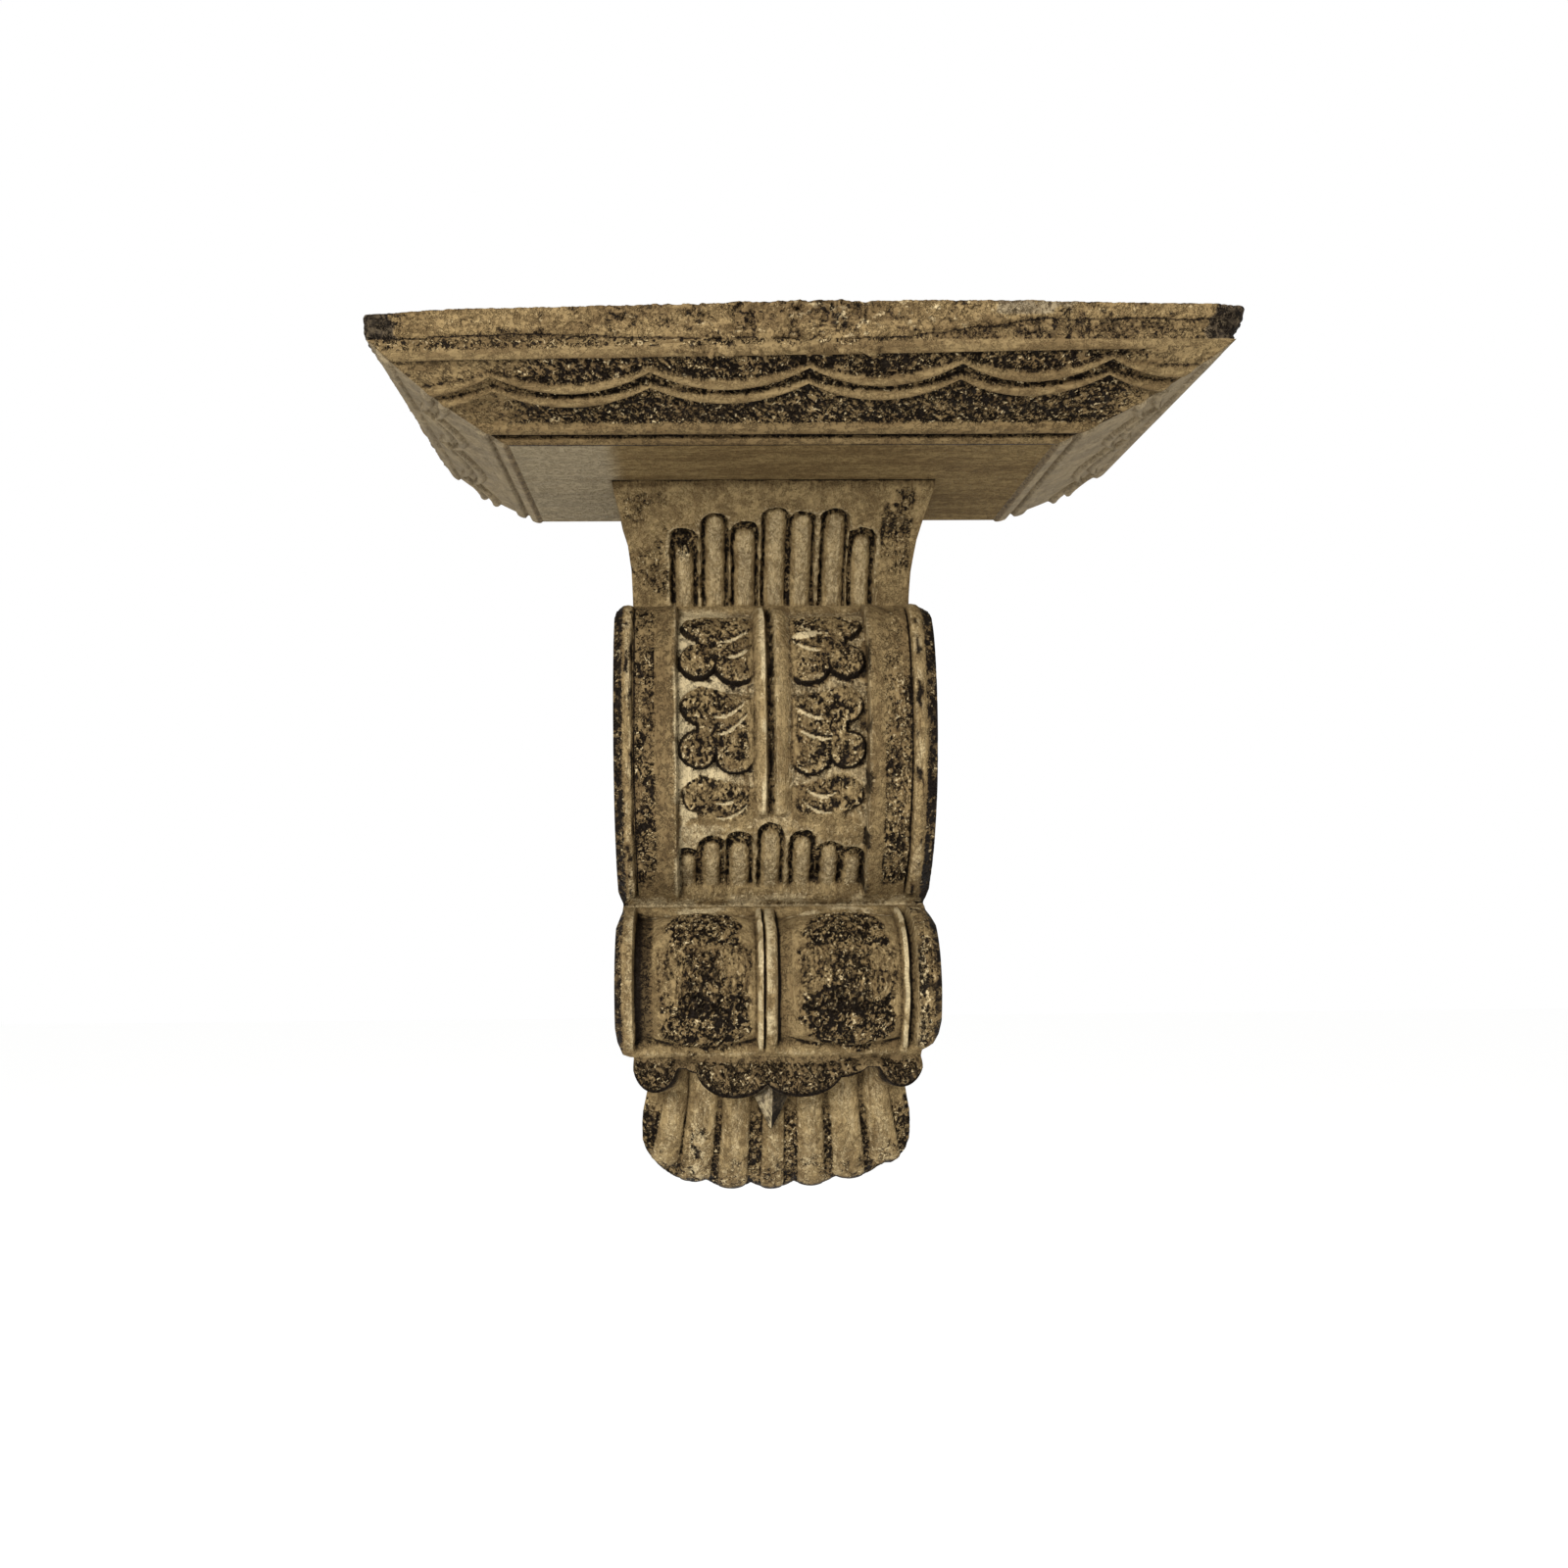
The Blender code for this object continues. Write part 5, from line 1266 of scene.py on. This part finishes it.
def shelf_mesh():
    """Three sheets side by side, from the flat top over the rough edge and down to the soffit."""
    left, right = SHELF_SHIFT - SHELF_WIDTH / 2, SHELF_SHIFT + SHELF_WIDTH / 2
    front = -SHELF_DEPTH
    outer = np.array([(left, 0.0), (left, front), (right, front), (right, 0.0)])
    inner = outer + np.array([(LEFT_INSET, 0.0), (LEFT_INSET, FRONT_INSET),
                              (-RIGHT_INSET, FRONT_INSET), (-RIGHT_INSET, 0.0)])
    share = graded(0.0, 1.0, SLOPE_ROWS, [0.03, 0.86, 0.98], 0.05, 0.8)[:, None]
    strips, paints = [], []
    for side, (inset, away, steps) in enumerate(SIDES):
        run = np.linspace(0.0, 1.0, steps)[None, :]
        edge = outer[side] + (outer[side + 1] - outer[side]) * run[..., None]
        across = inner[side] + (inner[side + 1] - inner[side]) * run[..., None] - edge
        from_corner = np.minimum(run if side > 0 else 1.0, 1.0 - run if side < 2 else 1.0)
        corner = from_corner * np.hypot(*(outer[side + 1] - outer[side]))
        measured = (edge[..., 0] - edge[..., 1]) / MM
        inward, rise, edge_paint = edge_sheet((edge[..., 0] - left) / SHELF_WIDTH, corner, measured,
                                              EDGE_ROWS)
        face = np.concatenate([edge + across * inward[..., None], EDGE_FOOT + rise[..., None]], axis=-1)

        slope = edge + across * share[..., None]
        length = np.hypot(inset, MOULDING_DROP)
        if side == 1:
            place, hand, peaks = (slope[..., 0] - left) / SHELF_WIDTH, 1.0, SWAG_PEAKS
        else:
            place, hand, peaks = slope[..., 1] / front, 0.0, SIDE_SWAG_PEAKS
        along_side = (slope[..., 0] - slope[..., 1]) / MM
        carving = moulding_carving(share * np.ones_like(run), place, along_side, length, hand, peaks)
        height = carving.height * step(corner, 0.0, MITRE_FADE)
        height = height * step(share, 0.0, 0.02) * (1.0 - step(share, 0.99, 1.0))
        carving.height = height / MM
        # Hollows and edges of the moulding take dark and pale, as paint and as painted shade and
        # highlight.
        weathered_and_shaded(carving, 2, dirt_and_shade=0.10 + 0.30 * hand, wear_and_highlight=0.12)
        carving.stain_and_shade(0.5 * (1.0 - step(corner, 0.0003, 0.0011)) * (0.3 + 0.7 * hand))
        swell = MOULDING_SWELL * 4.0 * share * (1.0 - share)
        level = EDGE_FOOT - MOULDING_DROP * share - height * inset / length - swell
        lifted = slope + np.array(away) * (height * MOULDING_DROP / length)[..., None]
        moulding = np.concatenate([lifted, level[..., None]], axis=-1)
        skip = 1 if side else 0
        strips.append(np.vstack([face, moulding])[:, skip:])
        side_paint = stacked((edge_paint, carving))
        paints.append(np.stack([getattr(side_paint, name) for name in MARKS], axis=-1)[:, skip:])
    points, paint = np.hstack(strips), np.hstack(paints)
    whole = Carving(points.shape[:2])
    for index, name in enumerate(MARKS):
        setattr(whole, name, paint[..., index])
    sheets = Sheets()
    numbers = sheets.add(points, whole, np.ones(points.shape[:2], bool))
    sheets.quads(numbers, True)
    sheets.flat(numbers[0], 2)
    sheets.flat(numbers[-1][::-1], 3)
    sheets.flat(np.concatenate([numbers[:, 0], numbers[::-1, -1]])[::-1], 1)
    return sheets.mesh("shelf-carved")


shelf = finished("shelf-carved", shelf_mesh(), [(1, 0.0), (2, SHELF_TOP), (2, SOFFIT_LEVEL)])

# %% [markdown]
# The finish is two coats. Dark brown went on first and sank into every pit. The khaki wash went over
# it thinly, in strokes, and was rubbed off the edges down to cream. An image texture would tie the
# paint to one unwrap. Here the marks of the carving say where each coat belongs, and where shade and
# highlights are painted in with them, and noise on Object coordinates breaks up their borders at the
# size of the brush's hairs.
# What the materials share are node groups: the worm-eaten grain, the brush strokes, and the coats.

# %% Helpers for nodes
FLOAT, COLOUR, VECTOR = "NodeSocketFloat", "NodeSocketColor", "NodeSocketVector"


def new_node(tree, kind, **settings):
    made = tree.nodes.new(kind)
    for name, value in settings.items():
        setattr(made, name, value)
    return made


def feed(tree, socket, source):
    """Links a socket to another one, or sets it to a plain value."""
    if isinstance(source, bpy.types.NodeSocket):
        tree.links.new(source, socket)
    else:
        socket.default_value = source


def maths(tree, operation, a, b=0.0, clamp=False):
    made = new_node(tree, "ShaderNodeMath", operation=operation, use_clamp=clamp)
    feed(tree, made.inputs[0], a)
    feed(tree, made.inputs[1], b)
    return made.outputs[0]


def ramp(tree, value, low, high):
    """0 at low, 1 at high, with a smooth rise between."""
    made = new_node(tree, "ShaderNodeMapRange", interpolation_type="SMOOTHSTEP")
    for socket, source in zip(made.inputs[:3], (value, low, high)):
        feed(tree, socket, source)
    return made.outputs[0]


def blend(tree, share, a, b):
    made = new_node(tree, "ShaderNodeMix", data_type="RGBA")
    feed(tree, made.inputs[0], share)
    feed(tree, made.inputs[6], a)
    feed(tree, made.inputs[7], b)
    return made.outputs[2]


def noise(tree, vector, scale, detail=3.0, roughness=0.55, distortion=0.0):
    made = new_node(tree, "ShaderNodeTexNoise")
    feed(tree, made.inputs["Vector"], vector)
    for name, value in (("Scale", scale), ("Detail", detail), ("Roughness", roughness),
                        ("Distortion", distortion)):
        feed(tree, made.inputs[name], value)
    return made.outputs["Fac"]


def stretched(tree, vector, factors):
    """The coordinates times a factor each way: a pattern runs long where the factor is small."""
    made = new_node(tree, "ShaderNodeMapping")
    feed(tree, made.inputs["Vector"], vector)
    made.inputs["Scale"].default_value = factors
    return made.outputs[0]


def new_group(name, inputs, outputs):
    """An empty node group with named sockets, as (name, kind, default)."""
    group = bpy.data.node_groups.new(name, "ShaderNodeTree")
    for title, kind, value in inputs:
        socket = group.interface.new_socket(title, in_out="INPUT", socket_type=kind)
        if value is not None:
            socket.default_value = value
    for title, kind in outputs:
        group.interface.new_socket(title, in_out="OUTPUT", socket_type=kind)
    return group, new_node(group, "NodeGroupInput"), new_node(group, "NodeGroupOutput")


def place_group(tree, group, **inputs):
    made = new_node(tree, "ShaderNodeGroup", node_tree=group)
    for name, source in inputs.items():
        feed(tree, made.inputs[name], source)
    return made.outputs


print("node groups so far:", len(bpy.data.node_groups))

# %% [markdown]
# Grain is what is too fine for the mesh: tracks and jabs about half a millimetre wide, and the flecks
# of wash that caught on their rims, which are also painted glints. A track is drawn where a noise
# passes through its middle value, which is a winding line, and a second noise breaks the line up. The
# jabs are the low spots of a third noise. The same three feed the colour and the bump, so that dark
# always lies deep.

# %% The grain group
GRAIN_FINENESS = 650.0
grain_group, source, result = new_group(
    "Torn grain",
    [("Vector", VECTOR, None), ("Amount", FLOAT, 0.5), ("Fineness", FLOAT, GRAIN_FINENESS)],
    [("Jabs", FLOAT), ("Flecks and glints", FLOAT), ("Mottle", FLOAT), ("Height", FLOAT)])
place, amount, fineness = (source.outputs[name] for name in ("Vector", "Amount", "Fineness"))
winding = noise(grain_group, place, fineness, 2.0, 0.5, 1.1)
from_line = maths(grain_group, "ABSOLUTE", maths(grain_group, "SUBTRACT", winding, 0.5))
worm = maths(grain_group, "SUBTRACT", 1.0, ramp(grain_group, from_line, 0.016, 0.060))
broken = noise(grain_group, place, maths(grain_group, "MULTIPLY", fineness, 0.5), 1.0)
worm = maths(grain_group, "MULTIPLY", worm, ramp(grain_group, broken, 0.40, 0.52))
jab = noise(grain_group, place, maths(grain_group, "MULTIPLY", fineness, 0.8), 1.0)
jab = maths(grain_group, "SUBTRACT", 1.0, ramp(grain_group, jab, 0.33, 0.41))
cuts = maths(grain_group, "MAXIMUM", worm, jab)
mottle = noise(grain_group, place, maths(grain_group, "MULTIPLY", fineness, 0.30), 6.0, 0.72)
feed(grain_group, result.inputs["Jabs"], cuts)
# Pale flecks along one side of each track: wash caught on the rims, and also painted glints.
feed(grain_group, result.inputs["Flecks and glints"], ramp(grain_group, winding, 0.58, 0.68))
feed(grain_group, result.inputs["Mottle"], mottle)
depth = maths(grain_group, "ADD", 0.12, amount)
relief = maths(grain_group, "MULTIPLY", cuts, maths(grain_group, "MULTIPLY", depth, -1.0))
relief = maths(grain_group, "ADD", relief, maths(grain_group, "MULTIPLY", mottle, 0.6))
feed(grain_group, result.inputs["Height"], relief)
print("grain sockets:", [socket.name for socket in grain_group.interface.items_tree])

# %% [markdown]
# Brush strokes are long, thin and nearly parallel. A noise that is squeezed across the stroke and
# left long along it gives them. Strokes matter most on the flat soffit and the smooth margins.

# %% The stroke group
stroke_group, source, result = new_group(
    "Brush strokes", [("Vector", VECTOR, None), ("Fineness", FLOAT, 100.0)],
    [("Streaks", FLOAT), ("Clouds", FLOAT)])
place, fineness = source.outputs["Vector"], source.outputs["Fineness"]
streaks = noise(stroke_group, place, fineness, 4.0, 0.65, 0.6)
wide = noise(stroke_group, place, maths(stroke_group, "MULTIPLY", fineness, 0.22), 3.0)
feed(stroke_group, result.inputs["Streaks"], ramp(stroke_group, streaks, 0.30, 0.70))
feed(stroke_group, result.inputs["Clouds"], ramp(stroke_group, wide, 0.35, 0.66))
print("stroke sockets:", [socket.name for socket in stroke_group.interface.items_tree])

# %% [markdown]
# The coats themselves: the wash between two tones by its strokes, browner where it lies thin, then
# grey or ochre where the tint says so, cream on rubbed edges and painted highlights, and the dark
# coat last, which also paints shade, wherever the carving's dark mark and the pits together pass a
# threshold. The threshold is what makes the border ragged and sharp, as dried paint is, and not
# blurred as the mark itself.

# %% The coats group
PATTERNS = {"Dark": 0.0, "Pale": 0.0, "Tint": 0.0, "Jabs": 0.0, "Flecks and glints": 0.0, "Mottle": 0.5,
            "Grain": 0.0, "Streaks": 0.5, "Clouds": 0.5}
TONES = {"Wash": (0.246, 0.174, 0.080, 1), "Thin wash": (0.090, 0.056, 0.024, 1),
         "Cream": (0.50, 0.40, 0.23, 1), "Under": (0.005, 0.003, 0.002, 1),
         "Grey": (0.225, 0.195, 0.140, 1), "Ochre": (0.222, 0.152, 0.068, 1)}
coats_group, source, result = new_group(
    "Rubbed coats",
    [(name, FLOAT, value) for name, value in PATTERNS.items()]
    + [(name, COLOUR, value) for name, value in TONES.items()],
    [("Color", COLOUR), ("Covered", FLOAT)])
given = source.outputs


def times(a, b, clamp=False):
    return maths(coats_group, "MULTIPLY", a, b, clamp)


def plus(a, b):
    return maths(coats_group, "ADD", a, b)


uneven = plus(times(given["Mottle"], 0.40), times(given["Streaks"], 0.30))
uneven = plus(uneven, times(given["Clouds"], 0.30))
thinned = times(ramp(coats_group, uneven, 0.36, 0.66), 0.62)
tone = blend(coats_group, thinned, given["Wash"], given["Thin wash"])
tone = blend(coats_group, times(given["Tint"], -0.8, True), tone, given["Grey"])
ochre_tone = blend(coats_group, thinned, given["Ochre"], given["Thin wash"])
tone = blend(coats_group, times(given["Tint"], 0.9, True), tone, ochre_tone)
stain_and_shade = plus(given["Dark"], times(given["Jabs"], plus(0.10, times(given["Grain"], 0.50))))
stain_and_shade = plus(stain_and_shade, times(maths(coats_group, "SUBTRACT", given["Mottle"], 0.5),
                          plus(0.16, times(given["Grain"], 0.50))))
tone = blend(coats_group, times(ramp(coats_group, stain_and_shade, 0.02, 0.55), 0.65), tone, given["Thin wash"])
# Cream where the wash was rubbed and where highlights are painted.
rubbed_and_highlit = plus(given["Pale"], times(given["Flecks and glints"], plus(0.04, times(given["Grain"], 0.75))))
rubbed_and_highlit = maths(coats_group, "SUBTRACT", rubbed_and_highlit, times(given["Streaks"], 0.25))
tone = blend(coats_group, times(ramp(coats_group, rubbed_and_highlit, 0.15, 0.80), 0.85), tone, given["Cream"])
# The dark coat, which also carries the painted shade.
covered = ramp(coats_group, stain_and_shade, 0.40, 0.86)
tone = blend(coats_group, times(covered, 0.97), tone, given["Under"])
feed(coats_group, result.inputs["Color"], tone)
feed(coats_group, result.inputs["Covered"], covered)
print("coats sockets:", [socket.name for socket in coats_group.interface.items_tree])

# %% [markdown]
# One function makes the painted materials from the groups, each with its own stroke direction and
# tones: the corbel's strokes run down, the moulding's run along the board. Each could be a material
# written out by itself, but then a change of the wash would be made four times. The soffit and the
# top are flat faces without marks of their own, so a noise gives their smudges, and their wash is
# browner from the corbel's left edge to the right. The backs are bare sawn wood, never painted.

# %% Painted and bare materials
PAINT_ROUGHNESS, UNDER_ROUGHNESS = 0.82, 0.50
FINE_BUMP, FINE_BUMP_DEPTH = 1.0, 0.0013
CLOUD_SIZE = 30.0
BROWNER_FROM = (-0.068, -0.058)
SAWN_STRETCH, SAWN_FINENESS, SAWN_ROUGHNESS = (6.0, 6.0, 0.35), 70.0, 0.72
SAWN_BUMP, SAWN_BUMP_DEPTH = 0.3, 0.0003


def new_material(name):
    """A material with its tree, its Principled shader and its Object coordinates."""
    material = bpy.data.materials.new(name)
    material.use_nodes = True
    tree = material.node_tree
    place = new_node(tree, "ShaderNodeTexCoord").outputs["Object"]
    return material, tree, tree.nodes["Principled BSDF"], place


def feed_bump(tree, shader, height, strength, distance):
    bump = new_node(tree, "ShaderNodeBump")
    for name, value in (("Strength", strength), ("Distance", distance), ("Height", height)):
        feed(tree, bump.inputs[name], value)
    feed(tree, shader.inputs["Normal"], bump.outputs[0])


def painted(name, stroke, fineness, marked=True, tint=0.0, tones=None, grain=0.35, gloss=0.06):
    """A rubbed wash. Where marked is False, noise stands in for the marks of the carving."""
    material, tree, shader, place = new_material(name)
    marks = {"dark": 0.0, "pale": 0.0, "grain": grain, "tint": tint}
    if marked:
        for mark in MARKS:
            marks[mark] = new_node(tree, "ShaderNodeAttribute", attribute_name=mark).outputs["Fac"]
    else:
        smudge = noise(tree, stretched(tree, place, stroke), CLOUD_SIZE, 3.0, 0.6, 0.8)
        side = new_node(tree, "ShaderNodeSeparateXYZ")
        feed(tree, side.inputs[0], place)
        browner = ramp(tree, side.outputs["X"], *BROWNER_FROM)
        smudge = maths(tree, "MULTIPLY", ramp(tree, smudge, 0.42, 0.66), 0.14)
        marks["dark"] = maths(tree, "ADD", smudge, maths(tree, "MULTIPLY", browner, 0.16))
        marks["tint"] = maths(tree, "ADD", maths(tree, "MULTIPLY", browner, 0.70), tint)
    torn = place_group(tree, grain_group, Vector=place, Amount=marks["grain"], Fineness=GRAIN_FINENESS)
    brushed = place_group(tree, stroke_group, Vector=stretched(tree, place, stroke), Fineness=fineness)
    given = {mark.capitalize(): source for mark, source in marks.items()}
    given.update({name: torn[name] for name in ("Jabs", "Flecks and glints", "Mottle")})
    given.update({name: brushed[name] for name in ("Streaks", "Clouds")})
    coats = place_group(tree, coats_group, **given, **(tones or {}))
    feed(tree, shader.inputs["Base Color"], coats["Color"])
    shine = maths(tree, "MULTIPLY", coats["Covered"], UNDER_ROUGHNESS - PAINT_ROUGHNESS)
    feed(tree, shader.inputs["Roughness"], maths(tree, "ADD", shine, PAINT_ROUGHNESS))
    feed(tree, shader.inputs["Specular IOR Level"], gloss)
    height = maths(tree, "ADD", torn["Height"], maths(tree, "MULTIPLY", brushed["Streaks"], 0.25))
    feed_bump(tree, shader, height, FINE_BUMP, FINE_BUMP_DEPTH)
    return material


def bare_wood(name, pale, brown):
    """Sawn wood: rings squeezed into upright streaks, between two browns."""
    material, tree, shader, place = new_material(name)
    upright = stretched(tree, place, SAWN_STRETCH)
    brushed = place_group(tree, stroke_group, Vector=upright, Fineness=SAWN_FINENESS)
    share = maths(tree, "MULTIPLY", brushed["Streaks"], brushed["Clouds"])
    feed(tree, shader.inputs["Base Color"], blend(tree, share, pale, brown))
    dullness = maths(tree, "MULTIPLY", share, 0.15)
    feed(tree, shader.inputs["Roughness"], maths(tree, "ADD", dullness, SAWN_ROUGHNESS))
    feed_bump(tree, shader, brushed["Streaks"], SAWN_BUMP, SAWN_BUMP_DEPTH)
    return material


print("paint roughness:", PAINT_ROUGHNESS, "on the wash and", UNDER_ROUGHNESS, "on the dark coat")

# %% [markdown]
# Each piece takes its materials in the order of the slots that its sheets were given: carved faces
# first, then the back, and for the board the top and the soffit. Painting face by face would do the
# same by hand. The slots came with the sheets, so no face can end up in the wrong one.

# %% Materials on the pieces
corbel_paint = painted("corbel wash", (1.0, 1.0, 0.20), 700.0)
moulding_paint = painted("moulding wash", (0.20, 0.5, 1.0), 700.0)
soffit_tones = {"Wash": (0.185, 0.128, 0.056, 1.0), "Grey": (0.30, 0.26, 0.18, 1.0)}
soffit_paint = painted("soffit wash", (0.30, 1.6, 1.0), 420.0, marked=False, tint=-0.7, grain=0.2,
                       gloss=0.02, tones=soffit_tones)
top_paint = painted("top wash", (0.22, 1.4, 1.0), 300.0, marked=False, tint=-0.05)
back_wood = bare_wood("bare back", (0.34, 0.23, 0.13, 1.0), (0.16, 0.095, 0.05, 1.0))
for piece, materials in ((corbel, (corbel_paint, back_wood)),
                         (shelf, (moulding_paint, back_wood, top_paint, soffit_paint))):
    for material in materials:
        piece.data.materials.append(material)
    slots = np.empty(len(piece.data.polygons), dtype=np.int32)
    piece.data.polygons.foreach_get("material_index", slots)
    print(piece.name, "faces to a material:", np.bincount(slots).tolist())
print("materials:", [material.name for material in bpy.data.materials if material.users])

# %% [markdown]
# Both pieces take the place of their solids in the frame and ride on its one body, because nothing
# on a corbel shelf moves.

# %% Into the frame
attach(corbel, "root")
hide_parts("corbel")
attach(shelf, "root")
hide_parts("shelf")
print(corbel.name, "and", shelf.name, "ride on root")

# %% [markdown]
# The camera stands where the photograph was taken: in front of the lower scroll, a little to the
# left, looking slightly up. Its turns were solved from the corners of the board and the corbel's
# outline, with a phone's usual lens. The picture's middle is moved by the lens shift, because the
# photograph was cropped off centre.

# %% Camera
IMAGE_SIZE = 1600.0
FOCAL_PIXELS = 1550.0
PICTURE_MIDDLE = (750.0, 825.0)
CAMERA_PLACE = Vector((-0.0287, -0.67604, -0.16042 + SOFFIT_LEVEL))
YAW, PITCH, ROLL = (float(np.radians(angle)) for angle in (-1.131, 2.629, 0.475))

lens = bpy.data.cameras.new("camera")
lens.sensor_width = 36.0
lens.lens = FOCAL_PIXELS / IMAGE_SIZE * lens.sensor_width
lens.shift_x = (IMAGE_SIZE / 2 - PICTURE_MIDDLE[0]) / IMAGE_SIZE
lens.shift_y = (PICTURE_MIDDLE[1] - IMAGE_SIZE / 2) / IMAGE_SIZE
camera = bpy.data.objects.new("camera", lens)
bpy.context.scene.collection.objects.link(camera)
turn = Matrix.Rotation(YAW, 3, "Z") @ Matrix.Rotation(PITCH, 3, "X") @ Matrix.Rotation(ROLL, 3, "Y")
turn = turn @ Matrix.Rotation(float(np.radians(90.0)), 3, "X")
camera.matrix_world = Matrix.Translation(CAMERA_PLACE) @ turn.to_4x4()
bpy.context.scene.camera = camera
print("camera is", round(-CAMERA_PLACE.y, 2), "m from the wall")

# %% [markdown]
# The light is that of a bright studio: one soft lamp in front at the left, a weaker one from above,
# and white all round. A single strong lamp would draw the gouges more sharply, but it would also
# leave black shadows, which the photograph hasn't. The floor lies well below, because the shelf hangs
# on a wall, and it is pale enough to throw light back up under the mouldings.

# %% Floor and light
FLOOR_LEVEL, FLOOR_HALF, FLOOR_POINTS = -0.62, 6.0, 5
WHITE = (1.0, 1.0, 1.0, 1.0)
FLOOR_LOOK = {"Base Color": (0.86, 0.86, 0.85, 1.0), "Roughness": 0.9, "Emission Color": WHITE,
              "Emission Strength": 0.55}
# A lamp is its place, its watts and its width.
LAMPS = {"key": ((-0.50, -1.30, 0.40), 23.0, 0.40), "top": ((0.10, -0.75, 1.40), 10.0, 0.60)}
LAMP_AIM = Vector((0.0, -0.05, 0.0))
AMBIENT = 0.50


def floor_sheet():
    """A flat square of FLOOR_POINTS points a side, FLOOR_HALF either way."""
    places = np.linspace(-FLOOR_HALF, FLOOR_HALF, FLOOR_POINTS)
    x, y = np.meshgrid(places, places)
    points = np.stack([x, y, np.full_like(x, FLOOR_LEVEL)], axis=-1).reshape(-1, 3)
    first = np.arange(FLOOR_POINTS ** 2).reshape(FLOOR_POINTS, FLOOR_POINTS)
    faces = np.stack([first[:-1, :-1], first[:-1, 1:], first[1:, 1:], first[1:, :-1]], axis=-1)
    mesh = bpy.data.meshes.new("floor")
    mesh.from_pydata(points.tolist(), [], faces.reshape(-1, 4).tolist())
    return mesh


floor = bpy.data.objects.new("floor", floor_sheet())
bpy.context.scene.collection.objects.link(floor)
pale_floor, tree, shader, _ = new_material("pale floor")
for name, value in FLOOR_LOOK.items():
    feed(tree, shader.inputs[name], value)
floor.data.materials.append(pale_floor)


for name, (place, watts, size) in LAMPS.items():
    light = bpy.data.lights.new(name, "AREA")
    light.energy, light.size = watts, size
    lamp = bpy.data.objects.new(name, light)
    lamp.location = place
    lamp.rotation_euler = (LAMP_AIM - Vector(place)).to_track_quat("-Z", "Y").to_euler()
    bpy.context.scene.collection.objects.link(lamp)
    print("lamp", name, "gives", watts, "W from", size, "m across")

world = bpy.data.worlds.new("studio")
bpy.context.scene.world = world
world.use_nodes = True
tree = world.node_tree
backdrop = tree.nodes["Background"]
seen = new_node(tree, "ShaderNodeLightPath").outputs["Is Camera Ray"]
strength = maths(tree, "ADD", maths(tree, "MULTIPLY", seen, 1.0 - AMBIENT), AMBIENT)
feed(tree, backdrop.inputs["Color"], WHITE)
feed(tree, backdrop.inputs["Strength"], strength)
bpy.context.scene.view_settings.view_transform = "Standard"
